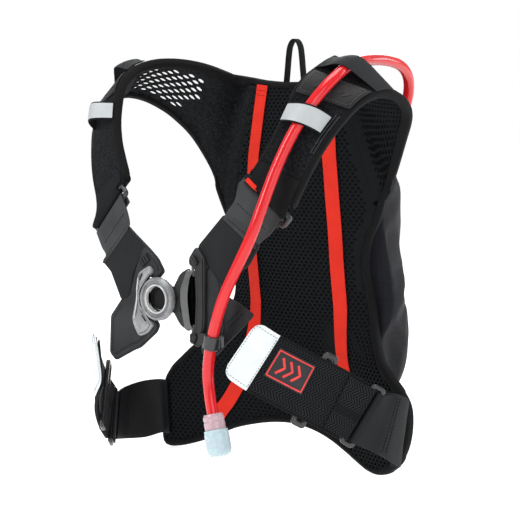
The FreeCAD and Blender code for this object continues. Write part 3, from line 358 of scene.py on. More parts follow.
# k scales the same film's colour per place: 0.72 darkens the shoulder loop's copy as painted shade, 1.16 lightens the
# waist tab's copy as painted light
def reflective(name="reflective_film_shaded", k=0.72):
    m = Mat(name, shade((0.66, 0.70, 0.71), k), 0.42, 0.3, coords="UV")
    sp = m.voronoi(1.6, obj=False)
    n = m.noise(0.06, 2.0)
    c = m.mix(m.span(n, 0.3, 0.7, 0, 1), shade((0.63, 0.67, 0.69), k), shade((0.71, 0.74, 0.75), k))
    h = m.math("MULTIPLY", m.math("ABSOLUTE", m.sin(m.x, 1.6)), m.math("ABSOLUTE", m.sin(m.y, 1.6)))
    m.out(c, m.bump(h, 0.00004), m.span(sp, 0.0, 0.6, 0.34, 0.5))
    return m.m


MT["reflective"] = reflective()
MT["tabfilm"] = reflective("reflective_tab_lit", 1.16)
MT["thread"] = plastic_mat("thread_black", (0.0045, 0.0045, 0.0050), 0.8, 0.1)
MT["thread_grey"] = plastic_mat("thread_grey", (0.10, 0.105, 0.11), 0.6, 0.3)
MT["black"] = plastic_mat("nylon_black", (0.011, 0.012, 0.013), 0.4, 0.35, bump=0.03)
MT["gloss"] = plastic_mat("acetal_black", (0.020, 0.021, 0.023), 0.24, 0.5, bump=0.01, coat=0.3)
MT["grey"] = plastic_mat("acetal_grey", (0.108, 0.112, 0.110), 0.42, 0.4, bump=0.03, light=1.1)
MT["base"] = plastic_mat("moulded_grey", (0.021, 0.022, 0.023), 0.45, 0.3, bump=0.03)
MT["rubber"] = plastic_mat("rubber_black", (0.009, 0.009, 0.010), 0.7, 0.2, bump=0.04)
MT["label"] = plastic_mat("label_rubber", (0.030, 0.031, 0.033), 0.6, 0.25, bump=0.04)
MT["label_red"] = plastic_mat("label_red", (0.78, 0.05, 0.05), 0.5, 0.35, bump=0.03)
MT["disc"] = plastic_mat("stippled_black", (0.007, 0.007, 0.0075), 0.6, 0.2, grain=1.1, bump=0.22)


def clear_mat():
    m = Mat("smoky_clear", (0.22, 0.23, 0.24), 0.22, 0.55, coords="OBJ")
    n = m.noise(0.09, 3.0)
    f = m.noise(1.4, 4.0)
    c = m.mix(m.span(n, 0.3, 0.7, 0, 1), (0.17, 0.178, 0.186), (0.36, 0.37, 0.38))
    m.out(c, m.bump(f, 0.00002), m.span(n, 0.3, 0.7, 0.16, 0.34))
    m.set(Transmission_Weight=0.12, Coat_Weight=0.4, Coat_Roughness=0.1)
    return m.m


MT["clear"] = clear_mat()


# near-white colour on edges of the clear plastic: a painted highlight for the bright glint on the ring's inner edge and
# along the bracket's spine
def painted_highlight_rim():
    m = Mat("rim_painted_highlight", (0.80, 0.81, 0.82), 0.16, 0.6, coords="OBJ")
    n = m.noise(0.15, 3.0)
    m.out(m.mix(m.span(n, 0.3, 0.7, 0, 1), (0.50, 0.51, 0.52), (0.68, 0.68, 0.68)), None, m.span(n, 0.3, 0.7, 0.1, 0.24))
    m.set(Coat_Weight=0.6)
    return m.m


MT["rim"] = painted_highlight_rim()


def hose_mat():
    m = Mat("hose_red", (0.72, 0.012, 0.018), 0.14, 0.38, coords="OBJ")
    n = m.noise(0.03, 2.0)
    c = m.mix(m.span(n, 0.3, 0.7, 0, 1), (0.66, 0.010, 0.016), (0.78, 0.016, 0.022))
    m.out(c, None, m.span(m.noise(0.5, 3.0), 0.3, 0.7, 0.10, 0.2))
    m.set(Coat_Weight=0.4, Coat_Roughness=0.03, Subsurface_Weight=0.12, Subsurface_Scale=0.003, Sheen_Weight=0.1, Sheen_Roughness=0.3)
    m.b.inputs["Sheen Tint"].default_value = (1.0, 0.45, 0.5, 1)
    return m.m


MT["hose"] = hose_mat()


def milky(name, a, b, trans, rough=0.25):
    m = Mat(name, a, rough, 0.5, coords="OBJ")
    n = m.noise(0.16, 3.0)
    m.out(m.mix(m.span(n, 0.3, 0.7, 0, 1), a, b), None, m.span(n, 0.3, 0.7, rough - 0.06, rough + 0.1))
    m.set(Transmission_Weight=trans, Subsurface_Weight=0.25, Subsurface_Scale=0.004, Coat_Weight=0.3)
    m.m.use_screen_refraction = False if hasattr(m.m, "use_screen_refraction") else False
    return m.m


MT["collar"] = milky("milky_pink", (0.56, 0.38, 0.43), (0.58, 0.41, 0.46), 0.03)
MT["cover"] = milky("milky_clear", (0.50, 0.65, 0.70), (0.53, 0.67, 0.72), 0.05)
MT["silicone"] = milky("silicone_cyan", (0.35, 0.72, 0.80), (0.50, 0.80, 0.86), 0.1, 0.35)
MT["film"] = milky("bladder_film", (0.45, 0.6, 0.7), (0.6, 0.72, 0.8), 0.4)


# ============================================================ mesh helpers
def make(name, V, F, mat, body=None, uv=None, sharp=38, stands=(), slot=None, blend=None, mm=True, recalc=True):
    V = np.asarray(V, float)
    if mm:
        V = M(V)
    me = bpy.data.meshes.new(name)
    me.from_pydata(V.tolist(), [], [tuple(int(i) for i in f) for f in F])
    me.update()
    if uv is not None:
        layer = me.uv_layers.new(name="UVMap")
        idx = np.zeros(len(me.loops), np.int32)
        me.loops.foreach_get("vertex_index", idx)
        layer.data.foreach_set("uv", np.asarray(uv, np.float32)[idx].ravel())
    if recalc:
        bm = bmesh.new()
        bm.from_mesh(me)
        bmesh.ops.recalc_face_normals(bm, faces=bm.faces)
        bm.to_mesh(me)
        bm.free()
    me.shade_smooth()
    me.set_sharp_from_angle(angle=math.radians(sharp))
    me.materials.append(mat)
    o = bpy.data.objects.new(name, me)
    scene.collection.objects.link(o)
    return place(o, body, stands, blend)


def place(o, body=None, stands=(), blend=None):
    if stands:
        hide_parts(*stands)
    if blend:
        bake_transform(o)
    elif body:
        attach(o, body)
    return o


SWING = {1: ("pack", "harness_left", (0.135, -0.030, 0.05), (0.135, -0.112, 0.05)),
         -1: ("pack", "harness_right", (-0.135, -0.030, 0.05), (-0.135, -0.112, 0.05))}
SIDE = {1: "left", -1: "right"}


def cat(P, t):
    """Catmull-Rom through the stations P at the parameters t."""
    P = np.asarray(P, float)
    t = np.atleast_1d(np.asarray(t, float))
    n = len(P)
    i = np.clip(np.floor(t).astype(int), 0, n - 2)
    f = (t - i)[:, None]
    E = np.vstack([2 * P[0] - P[1], P, 2 * P[-1] - P[-2]])
    p0, p1, p2, p3 = E[i], E[i + 1], E[i + 2], E[i + 3]
    return 0.5 * (2 * p1 + (p2 - p0) * f + (2 * p0 - 5 * p1 + 4 * p2 - p3) * f ** 2 + (-p0 + 3 * p1 - 3 * p2 + p3) * f ** 3)


def unit(v):
    v = np.asarray(v, float)
    return v / np.maximum(np.linalg.norm(v, axis=-1, keepdims=True), 1e-12)


def resample(P, step=None, count=None, closed=False):
    P = np.asarray(P, float)
    if closed:
        P = np.vstack([P, P[:1]])
    d = np.r_[0, np.cumsum(np.linalg.norm(np.diff(P, axis=0), axis=1))]
    n = count or max(2, int(round(d[-1] / step)) + 1)
    q = np.linspace(0, d[-1], n + 1)[:-1] if closed else np.linspace(0, d[-1], n)
    return np.stack([np.interp(q, d, P[:, k]) for k in range(P.shape[1])], 1)


def tangents(C, closed=False):
    if closed:
        return unit(np.roll(C, -1, 0) - np.roll(C, 1, 0))
    return unit(np.gradient(C, axis=0))


def sweep_rows(rows, closed=False, caps=True):
    """Quads over an (m, k, 3) array of closed sections."""
    m, k = rows.shape[:2]
    i = np.arange(m if closed else m - 1)[:, None]
    j = np.arange(k)[None, :]
    a = i * k + j
    b = i * k + (j + 1) % k
    c = ((i + 1) % m) * k + (j + 1) % k
    d = ((i + 1) % m) * k + j
    F = np.stack([a, b, c, d], -1).reshape(-1, 4).tolist()
    if caps and not closed:
        F.append(list(range(k))[::-1])
        F.append([(m - 1) * k + j for j in range(k)])
    return F


def sweep(name, C, U, N, prof, mat, closed=False, caps=True, **kw):
    C, U, N = (np.asarray(v, float) for v in (C, U, N))
    m = len(C)
    U = np.broadcast_to(U, (m, 3))
    N = np.broadcast_to(N, (m, 3))
    prof = np.asarray(prof, float)
    if prof.ndim == 2:
        prof = np.repeat(prof[None], m, 0)
    rows = C[:, None] + U[:, None] * prof[:, :, 0:1] + N[:, None] * prof[:, :, 1:2]
    return rows_mesh(name, rows, mat, closed, caps, **kw)


def rows_mesh(name, rows, mat, closed=False, caps=True, **kw):
    m, k = rows.shape[:2]
    mid = rows.mean(1)
    s = np.r_[0, np.cumsum(np.linalg.norm(np.diff(mid, axis=0), axis=1))]
    r = rows[m // 2]
    v = np.r_[0, np.cumsum(np.linalg.norm(np.diff(r, axis=0), axis=1))]
    uv = np.stack(np.meshgrid(s, v, indexing="ij"), -1).reshape(-1, 2)
    return make(name, rows.reshape(-1, 3), sweep_rows(rows, closed, caps), mat, uv=uv, **kw)


def rect_prof(w, t, r, nc=3, nw=1, crown=0.0, crown2=None, n0=0.0):
    """Rounded rectangle of width w and thickness t, starting at the middle of its lower side; crown lifts the middle of each side."""
    r = min(r, t / 2 - 1e-3, w / 2 - 1e-3)
    pts = []
    xs = np.linspace(0, w / 2 - r, nw + 1)
    pts += [(x, -t / 2) for x in xs[:-1]]
    for cx, cy, a0 in ((w / 2 - r, -t / 2 + r, -90), (w / 2 - r, t / 2 - r, 0)):
        for k in range(nc + 1):
            a = math.radians(a0 + 90 * k / nc)
            pts.append((cx + r * math.cos(a), cy + r * math.sin(a)))
    top = np.linspace(w / 2 - r, -(w / 2 - r), 2 * nw + 1)[1:-1]
    pts += [(x, t / 2) for x in top]
    for cx, cy, a0 in ((-w / 2 + r, t / 2 - r, 90), (-w / 2 + r, -t / 2 + r, 180)):
        for k in range(nc + 1):
            a = math.radians(a0 + 90 * k / nc)
            pts.append((cx + r * math.cos(a), cy + r * math.sin(a)))
    pts += [(x, -t / 2) for x in np.linspace(-(w / 2 - r), 0, nw + 1)[1:-1]]
    P = np.array(pts)
    c2 = crown if crown2 is None else crown2
    bulge = np.cos(np.clip(P[:, 0] / (w / 2), -1, 1) * math.pi / 2)
    P[:, 1] += np.where(P[:, 1] > 0, crown, -c2) * bulge + n0
    return P


def circle_prof(r, n=16, ry=None):
    a = np.arange(n) * 2 * math.pi / n - math.pi / 2
    return np.stack([np.cos(a) * r, np.sin(a) * (ry or r)], 1)


def frames_along(C, ref, closed=False):
    """Unit side vectors and normals for a path, from a reference normal."""
    T = tangents(C, closed)
    ref = np.broadcast_to(np.asarray(ref, float), C.shape)
    U = unit(np.cross(T, ref))
    N = unit(np.cross(U, T))
    return T, U, N


def tube(name, C, r, mat, n=14, closed=False, ref=(0.13, 0.31, 0.94), **kw):
    C = np.asarray(C, float)
    T = tangents(C, closed)
    U = [unit(np.cross(T[0], ref))]
    for k in range(1, len(C)):
        u = U[-1] - T[k] * (U[-1] @ T[k])
        U.append(unit(u))
    U = np.array(U)
    N = unit(np.cross(T, U))
    if closed:      # spread the twist that is left round the loop
        u = U[-1] - T[0] * (U[-1] @ T[0])
        ang = math.atan2(np.cross(u, U[0]) @ T[0], u @ U[0])
        k = np.linspace(0, ang, len(C), endpoint=False)[:, None]
        U, N = U * np.cos(k) + N * np.sin(k), N * np.cos(k) - U * np.sin(k)
    r = np.broadcast_to(np.asarray(r, float), (len(C),))
    prof = circle_prof(1.0, n)[None] * r[:, None, None]
    return sweep(name, C, U, N, prof, mat, closed=closed, **kw)


def join_meshes(name, parts, mat, **kw):
    """One mesh from several (V, F, uv) parts."""
    V, F, UV, k = [], [], [], 0
    for v, f, uv in parts:
        V.append(v)
        UV.append(uv if uv is not None else np.zeros((len(v), 2)))
        F += [[i + k for i in q] for q in f]
        k += len(v)
    return make(name, np.vstack(V), F, mat, uv=np.vstack(UV), **kw)


def stitches(name, paths, mat, pitch=3.3, length=2.2, r=0.32, lift=0.12, **kw):
    """Short raised threads along paths; each path is (points, normals) in mm."""
    parts = []
    for P, Nn in paths:
        P = np.asarray(P, float)
        Nn = np.broadcast_to(np.asarray(Nn, float), P.shape)
        Q = np.hstack([P, Nn])
        d = np.r_[0, np.cumsum(np.linalg.norm(np.diff(P, axis=0), axis=1))]
        for s in np.arange(pitch * 0.5, d[-1] - length * 0.5, pitch):
            row = np.stack([np.interp([s - length / 2, s - length / 4, s + length / 4, s + length / 2], d, Q[:, c]) for c in range(6)], 1)
            c, nn = row[:, :3].copy(), unit(row[:, 3:])
            T = unit(c[-1] - c[0])
            side = unit(np.cross(T, nn[1]))
            h = np.array([-0.35, 1.0, 1.0, -0.35])[:, None] * lift
            c = c + nn * h
            rad = np.array([0.45, 1, 1, 0.45]) * r
            a = np.arange(6) * math.pi / 3
            ring = c[:, None] + (side[None, None] * np.cos(a)[None, :, None] + nn[:, None] * np.sin(a)[None, :, None]) * rad[:, None, None]
            parts.append((ring.reshape(-1, 3), sweep_rows(ring), None))
    return join_meshes(name, parts, mat, sharp=60, **kw)


HEX = np.array([(0, 4), (1, 3), (2, 2), (2, 0), (2, -2), (1, -3), (0, -4), (-1, -3), (-2, -2), (-2, 0), (-2, 2), (-1, 3)])


def hexplate(name, mapf, area_box, a, r, keep, kind, hole, nf, nb, depth, mat, crown=0.25, back_kind=None, uvoff=(0, 0), lip=0.0, **kw):
    """Perforated or dimpled sheet of hexagonal cells. mapf(p, q, n) gives the place of a point at (p, q) mm on the sheet, n mm above it.
    kind: 0 flat, 1 dimple on the front, 2 through hole."""
    (p0, q0), (p1, q1) = area_box
    J = np.arange(int(math.floor(q0 / r)), int(math.ceil(q1 / r)) + 1)
    I = np.arange(int(math.floor(p0 / a)) - 1, int(math.ceil(p1 / a)) + 1)
    ii, jj = np.meshgrid(I, J)
    ii, jj = ii.ravel(), jj.ravel()
    P0, Q0 = 4 * ii + 2 * (jj % 2), 6 * jj
    pc, qc = P0 * a / 4, Q0 * r / 6
    ok = keep(pc, qc)
    P0, Q0, pc, qc = P0[ok], Q0[ok], pc[ok], qc[ok]
    kd = kind(pc, qc)
    n = len(pc)
    key = np.stack([P0[:, None] + HEX[:, 0], Q0[:, None] + HEX[:, 1]], -1).reshape(-1, 2)
    uniq, inv = np.unique(key, axis=0, return_inverse=True)
    inv = inv.reshape(n, 12)
    bp, bq = uniq[:, 0] * a / 4, uniq[:, 1] * r / 6
    nu = len(uniq)
    V = [mapf(bp, bq, np.full(nu, nf + crown)), mapf(bp, bq, np.full(nu, nb))]
    UV = [np.stack([bp, bq], 1)] * 2
    F = []
    ang = np.arctan2(HEX[:, 1] * r / 6, HEX[:, 0] * a / 4)
    rx, ry = hole
    k = 2 * nu
    off = np.arange(12)
    for t in range(n):
        fb = inv[t]
        bb = fb + nu
        if kd[t] == 0:
            F.append(fb[::-1].tolist())
            F.append(bb.tolist())
            continue
        hp, hq = pc[t] + rx * np.cos(ang), qc[t] + ry * np.sin(ang)
        if kd[t] == 1:
            V.append(np.vstack([mapf(hp, hq, np.full(12, nf - lip)), mapf(pc[t] + rx * 0.9 * np.cos(ang), qc[t] + ry * 0.9 * np.sin(ang), np.full(12, nf - depth))]))
        else:
            V.append(np.vstack([mapf(hp, hq, np.full(12, nf - lip)), mapf(hp, hq, np.full(12, nb + lip))]))
        UV += [np.stack([hp, hq], 1)] * 2
        g, h = k + off, k + 12 + off
        k += 24
        nx = np.roll(off, -1)
        F += np.stack([fb, g, g[nx], fb[nx]], 1).tolist()
        F += np.stack([g, h, h[nx], g[nx]], 1).tolist()
        if kd[t] == 1:
            F.append(h[::-1].tolist())
            F.append(bb.tolist())
        else:
            F += np.stack([h, bb, bb[nx], h[nx]], 1).tolist()
    e = np.stack([inv, np.roll(inv, -1, 1)], -1).reshape(-1, 2)
    es = np.sort(e, 1)
    u, idx, cnt = np.unique(es, axis=0, return_index=True, return_counts=True)
    for q in idx[cnt == 1]:
        x, y = e[q]
        F.append([int(x), int(y), int(y) + nu, int(x) + nu])
    V, UV = np.vstack(V), np.vstack(UV)
    return make(name, V, F, mat, uv=UV + np.asarray(uvoff), **kw)


# ============================================================ shapes shared with the design
def lt(tab, t):
    return np.interp(t, [p[0] for p in tab], [p[1] for p in tab])


def sstep(t):
    t = np.clip(t, 0.0, 1.0)
    return t * t * (3 - 2 * t)


BULGE = [(-10, 0), (90, 0), (150, -3), (200, -10), (260, -14), (300, -15), (345, -12), (380, -9)]
WRAP = [(0, 0), (45, 0), (70, -4), (90, -10.5), (110, -18.5), (130, -24.5), (145, -27), (180, -27)]


def yfront(x, z):
    x, z = np.asarray(x, float), np.asarray(z, float)
    up = lt(BULGE, z) + 0.0017 * x * x
    low = lt(WRAP, np.abs(x))
    return low + (up - low) * sstep((z - 95.0) / 70.0)


def dense(P, per):
    P = np.asarray(P, float)
    n = len(P)
    out = []
    for i in range(n):
        p0, p1, p2, p3 = P[i - 1], P[i], P[(i + 1) % n], P[(i + 2) % n]
        for k in range(per):
            f = k / per
            out.append(0.5 * (2 * p1 + (p2 - p0) * f + (2 * p0 - 5 * p1 + 4 * p2 - p3) * f * f + (-p0 + 3 * p1 - 3 * p2 + p3) * f ** 3))
    return np.array(out)


TOP = [(0, 372.5), (35, 374.5), (60, 377.5), (68.0, 376.5), (72.5, 356), (82.5, 320), (93.5, 283),
       (101, 256), (99, 238), (91, 221), (86.5, 200), (86.5, 176), (91, 150), (103, 124)]
LOW_L = [(128, 98), (147, 81), (156, 66), (157, 45), (152, 24), (141, 8), (122, -2.5), (100, -3),
         (77, 4), (55, 13.5), (27, 24.5), (0, 29.5)]
LOW_R = [(-25, 29), (-50, 25), (-76, 18), (-104, 5), (-128, -3), (-148, -6), (-157.5, -1), (-158.5, 20), (-157, 45), (-155, 64), (-144, 80), (-126, 97)]
OUTLINE = dense(TOP + LOW_L + LOW_R + [(-x, z) for x, z in reversed(TOP[1:])], 6)
SH_HALF = [(0, 363), (40, 362), (66, 357), (82, 343), (88, 318), (91, 284), (97, 225), (102, 165),
           (101, 118), (92, 80), (72, 54), (40, 43), (0, 40)]
SHD = dense(SH_HALF + [(-x, z) for x, z in reversed(SH_HALF[1:-1])], 4)


def dist_inside(P, x, z):
    """Signed distance to a closed outline, positive inside, for arrays of points."""
    x, z = np.asarray(x, float).ravel(), np.asarray(z, float).ravel()
    A, B = P, np.roll(P, -1, 0)
    d = np.full(len(x), 1e9)
    inside = np.zeros(len(x), bool)
    for (ax, az), (bx, bz) in zip(A, B):
        vx, vz = bx - ax, bz - az
        L = vx * vx + vz * vz
        if L < 1e-9:
            continue
        t = np.clip(((x - ax) * vx + (z - az) * vz) / L, 0, 1)
        d = np.minimum(d, np.hypot(x - ax - vx * t, z - az - vz * t))
        c = (az > z) != (bz > z)
        xi = np.where(c, ax + (z - az) * vx / (vz if abs(vz) > 1e-12 else 1e-12), -1e9)
        inside ^= c & (x < xi)
    return np.where(inside, d, -d)


class Rib:
    """Strap surface between an inner and an outer edge; side -1 mirrors it in X."""

    def __init__(self, I, O, flip=1.0, side=1):
        self.I, self.O, self.flip, self.side = np.array(I, float), np.array(O, float), flip, side

    def at(self, s, u, n=0.0):
        s, u, n = np.broadcast_arrays(*(np.asarray(v, float) for v in (s, u, n)))
        sh = s.shape
        s, u, n = s.ravel(), u.ravel()[:, None], n.ravel()[:, None]
        a, b = cat(self.I, s), cat(self.O, s)
        lo, hi = np.maximum(0, s - 0.05), np.minimum(len(self.I) - 1.0, s + 0.05)
        tan = (cat(self.I, hi) * (1 - u) + cat(self.O, hi) * u) - (cat(self.I, lo) * (1 - u) + cat(self.O, lo) * u)
        nor = unit(np.cross(tan, b - a)) * self.flip
        p = a * (1 - u) + b * u + nor * n
        p = p * np.array([self.side, 1, 1])
        return p.reshape(*sh, 3)

    def width(self, s):
        return np.linalg.norm(cat(self.I, s) - cat(self.O, s), axis=1)

    def normal(self, s, u):
        return unit(self.at(s, u, 1.0) - self.at(s, u, 0.0))

    def arc(self, s0, s1, step=4.0, u=0.5):
        """Parameters spaced evenly along the strap."""
        q = np.linspace(s0, s1, 200)
        P = self.at(q, u, 0)
        d = np.r_[0, np.cumsum(np.linalg.norm(np.diff(P, axis=0), axis=1))]
        n = max(3, int(round(d[-1] / step)) + 1)
        return np.interp(np.linspace(0, d[-1], n), d, q), d[-1]

    def body(self, name, s0, s1, prof, mat, step=4.0, u0=0.0, u1=1.0, taper=None, **kw):
        """Closed solid over the strap; prof(w) is a closed section of (mm across, n), across measured from the middle of u0..u1."""
        S, L = self.arc(s0, s1, step, (u0 + u1) / 2)
        rows = []
        for k, s in enumerate(S):
            w = float(self.width(s)[0]) * (u1 - u0)
            p = prof(w) if taper is None else prof(w, k / (len(S) - 1))
            u = (p[:, 0] / w + 0.5) * (u1 - u0) + u0
            rows.append(self.at(np.full(len(u), s), u, p[:, 1]))
        return rows_mesh(name, np.array(rows), mat, **kw)

    def line(self, s0, s1, u, n, step=2.0):
        S, L = self.arc(s0, s1, step, u)
        return self.at(S, u, n), self.normal(S, np.full(len(S), u))


SH_IN = [(69.5, -4, 377.5), (71, -21, 382), (76, -42, 387.5), (87, -60, 391.5), (100, -73, 393), (110, -88, 391.5),
         (113, -110, 384.5), (109, -133, 369), (103, -146, 341), (95, -153, 318), (85, -158, 300), (76, -162.5, 285)]
SH_OU = [(103.5, 4, 254), (113, 8, 277), (133, -1, 314), (149, -14, 336), (157.5, -31, 348.5), (162, -54, 357),
         (163, -80, 359), (159, -107, 349), (149.5, -130, 325), (140, -142.5, 302), (131, -150, 279), (119, -156, 251)]


# ============================================================ drinking hose
PX = np.array([93.0, 44.0, 329.0])
PD = unit([0.50, -0.20, 0.843])
ROUTE = [tuple(PX + PD * 6.0), tuple(PX + PD * 27.0), (114.3, 31.5, 368.3), (121.0, 18.0, 380.5), (126.0, -1.5, 388.3),
         (128.3, -25.5, 391.6), (130.2, -49, 391.8), (134.0, -74.0, 390.2), (138.5, -96.4, 385.8), (140.0, -117.4, 376.5),
         (136.5, -135, 362), (129.3, -148.6, 343.5), (120.5, -160.0, 319.5), (113.5, -171.5, 291.5), (108.0, -181.5, 262.0),
         (100.5, -188.5, 233.0), (87.0, -192.5, 205.5), (72.5, -194.0, 179.0), (63.0, -194.5, 151.5), (55.0, -193.5, 124.0),
         (52.5, -192.5, 97.0), (60.0, -193.0, 69.0)]


def nurbs_line(name, pts):
    """Centreline read from a NURBS spline through control points in mm; returned in mm."""
    cu = bpy.data.curves.new(name, "CURVE")
    cu.dimensions = "3D"
    sp = cu.splines.new("NURBS")
    sp.points.add(len(pts) - 1)
    for q, p in zip(sp.points, pts):
        q.co = (*M(p), 1.0)
    sp.order_u = 3
    sp.use_endpoint_u = True
    sp.resolution_u = 10
    o = bpy.data.objects.new(name, cu)
    scene.collection.objects.link(o)
    bpy.context.view_layer.update()
    me = bpy.data.meshes.new_from_object(o)
    P = np.array([v.co for v in me.vertices], float)
    bpy.data.objects.remove(o)
    bpy.data.curves.remove(cu)
    return P / 0.001 + ORG


HOSE = nurbs_line("hose_route", ROUTE)
hose = tube("hose", HOSE, 5.25, MT["hose"], n=24, stands=("hose_over_shoulder", "drinking_hose"), slot="hose_red", blend=SWING[1])
AX = unit(np.array(ROUTE[-1]) - np.array(ROUTE[-2]))
VP = np.array(ROUTE[-1]) - AX * 3.4
VX = unit(np.array([1.0, 0, 0]) - AX * AX[0])
VY = np.cross(AX, VX)


def lathe(name, prof, mat, org=VP, ax=AX, ux=VX, uy=VY, n=40, wave=None, **kw):
    """Turned shape from a closed half section (r, h)."""
    a = np.arange(n) * 2 * math.pi / n
    prof = np.asarray(prof, float)
    rows = []
    for t in a:
        rr = prof[:, 0] * (1.0 if wave is None else 1 + wave[0] * math.cos(wave[1] * t))
        rows.append(org + ux * rr[:, None] * math.cos(t) + uy * rr[:, None] * math.sin(t) + ax * prof[:, 1:2])
    rows = np.array(rows)
    return rows_mesh(name, rows, mat, closed=True, **kw)


def rounded(prof, r=0.5, n=3):
    """Closed half section with its corners eased."""
    P = np.asarray(prof, float)
    out = []
    for i in range(len(P)):
        a, b, c = P[i - 1], P[i], P[(i + 1) % len(P)]
        la, lc = np.linalg.norm(a - b), np.linalg.norm(c - b)
        q = min(r, la * 0.45, lc * 0.45)
        s, e = b + unit(a - b) * q, b + unit(c - b) * q
        for k in range(n + 1):
            t = k / n
            out.append(s * (1 - t) ** 2 + b * 2 * t * (1 - t) + e * t * t)
    return np.array(out)


CL, VL, CR = 18.0, 22.0, 11.6
collar = lathe("valve_collar_milky", rounded([(5.4, 0.2), (8.5, 0.0), (9.1, 1.6), (9.6, 2.4), (9.6, 5.2), (9.1, 5.8), (9.1, 6.6), (9.6, 7.2), (9.6, 14.2), (8.3, 15.4), (8.2, 18), (3.4, 18), (3.4, 9.3), (5.4, 9.3)], 0.6),
               MT["collar"], body="harness_left", stands=("valve_collar",), slot="milky_plastic")
bite = lathe("bite_piece_silicone", rounded([(2.2, CL + 0.2), (8.1, CL + 0.2), (8.6, CL + 4), (7.6, CL + 6.2), (8.5, CL + 8.5), (7.8, CL + 11.5), (7.2, CL + 16), (6.0, CL + 18.5), (2.2, CL + 18.5)], 0.9),
             MT["silicone"], body="harness_left", stands=("bite_piece",), slot="silicone_blue")
cover = lathe("valve_cover_cap", rounded([(9.85, CL - 3.4), (10.6, CL - 3.6), (11.0, CL - 2.6), (10.8, CL - 1.4), (11.3, CL + 0.4), (11.5, CL + 8), (11.2, CL + 15), (10.3, CL + 18), (8.4, CL + 20), (4.0, CL + 21), (0.02, CL + 21),
                                          (0.02, CL + 19.8), (6.5, CL + 19.5), (9.6, CL + 14)], 0.7),
              MT["cover"], wave=(0.006, 12), body="bite_cover", stands=("valve_cover",), slot="milky_plastic")

# ============================================================ back panel
HMAP = lambda dy: (lambda p, q, n: np.stack([p, yfront(p, q) + dy - n, q], -1))

# seam between the hexagon mesh and the plain knit on the wearer's right
SEAM = np.array([(-30, 368), (-49.6, 363.4), (-54.6, 349.4), (-59.5, 329.3), (-65.9, 304), (-71.3, 278.6), (-75.8, 252.9), (-76.9, 237.5), (-76.7, 217), (-78, 196), (-86, 176)])


def seam_x(z):
    return np.interp(z, SEAM[::-1, 1], SEAM[::-1, 0])


def keep_mesh(x, z):
    d = dist_inside(OUTLINE, x, z)
    return (d > 4.2) & ~((z > 176) & (x < seam_x(z)))


def kind_mesh(x, z):
    d = dist_inside(OUTLINE, x, z)
    band = (x > 0) & (z > 170) & (d < 14.5)
    nearseam = (z > 176) & (x < seam_x(z) + 4.0)
    return np.where(band | nearseam | (d < 6.2), 0, 1)


mesh = hexplate("panel_mesh", HMAP(-0.2), ((-160, -8), (160, 380)), 5.7, 3.55, keep_mesh, kind_mesh, (1.72, 1.42), 0.0, -1.7, 1.75, MT["mesh"],
                crown=0.0, lip=0.35, body="pack", stands=("back_mesh",), slot="spacer_mesh", sharp=34)


def grid_cap(name, P2, y0, y1, mat, step=9.0, soft=2.0, **kw):
    """Cushion between two faces over a closed outline in X, Z; y0 and y1 are offsets from the panel's front face."""
    P2 = resample(np.asarray(P2, float), step=step, closed=True)
    cx, cz = P2.mean(0)
    rings = []
    lv = [(y1 - 0.0, 0.90), (y1 - 0.35 * soft, 0.965), (y1 - soft, 1.0), (y0 + soft, 1.0), (y0 + 0.35 * soft, 0.965), (y0, 0.90)]
    for y, k in lv:
        x, z = cx + (P2[:, 0] - cx) * k, cz + (P2[:, 1] - cz) * k
        rings.append(np.stack([x, yfront(x, z) + y, z], -1))
    for y, ks in ((y0, (0.7, 0.45, 0.2)),):
        for k in ks:
            x, z = cx + (P2[:, 0] - cx) * k, cz + (P2[:, 1] - cz) * k
            rings.append(np.stack([x, yfront(x, z) + y, z], -1))
    top = []
    for k in (0.2, 0.45, 0.7):
        x, z = cx + (P2[:, 0] - cx) * k, cz + (P2[:, 1] - cz) * k
        top.append(np.stack([x, yfront(x, z) + y1, z], -1))
    rows = np.array(top + rings)
    n = rows.shape[1]
    V = np.vstack([rows.reshape(-1, 3), rows[0].mean(0)[None], rows[-1].mean(0)[None]])
    F = sweep_rows(rows, False, False)
    # the sweep runs along the rings, so close round each ring
    a, b = len(V) - 2, len(V) - 1
    m = len(rows)
    F += [[a, (j + 1) % n, j] for j in range(n)]
    F += [[b, (m - 1) * n + j, (m - 1) * n + (j + 1) % n] for j in range(n)]
    return make(name, V, F, mat, uv=np.vstack([rows.reshape(-1, 3)[:, [0, 2]], [[cx, cz]] * 2]), **kw)


def inset_pts(P, d):
    P = np.asarray(P, float)
    T = unit(np.roll(P, -1, 0) - np.roll(P, 1, 0))
    A = 0.5 * np.sum(P[:, 0] * np.roll(P[:, 1], -1) - np.roll(P[:, 0], -1) * P[:, 1])
    sg = 1.0 if A > 0 else -1.0
    Q = P + sg * d * np.stack([-T[:, 1], T[:, 0]], 1)
    return Q[dist_inside(P, Q[:, 0], Q[:, 1]) > d * 0.97]


foam = grid_cap("panel_foam", inset_pts(OUTLINE, 5.0), 1.9, 9.6, MT["foam"], soft=2.0, body="pack", stands=("back_panel_foam",), slot="foam_mesh")


# edge binding: rolled tape round the whole panel
def xz_frames(P, closed=True):
    T = tangents(np.stack([P[:, 0], np.zeros(len(P)), P[:, 1]], 1), closed)
    x, z = P[:, 0], P[:, 1]
    e = 0.5
    gx = (yfront(x + e, z) - yfront(x - e, z)) / (2 * e)
    gz = (yfront(x, z + e) - yfront(x, z - e)) / (2 * e)
    N = unit(np.stack([gx, -np.ones(len(x)), gz], 1))       # out of the front face
    C3 = np.stack([x, yfront(x, z), z], 1)
    T = tangents(C3, closed)
    U = unit(np.cross(T, N))
    return C3, U, N


BP = resample(inset_pts(OUTLINE, 3.7), step=3.0, closed=True)
IP = resample(inset_pts(OUTLINE, 6.4), step=2.0, closed=True)
bprof = rect_prof(7.6, 10.9, 3.4, nc=4, nw=2, crown=0.7, n0=-5.15)


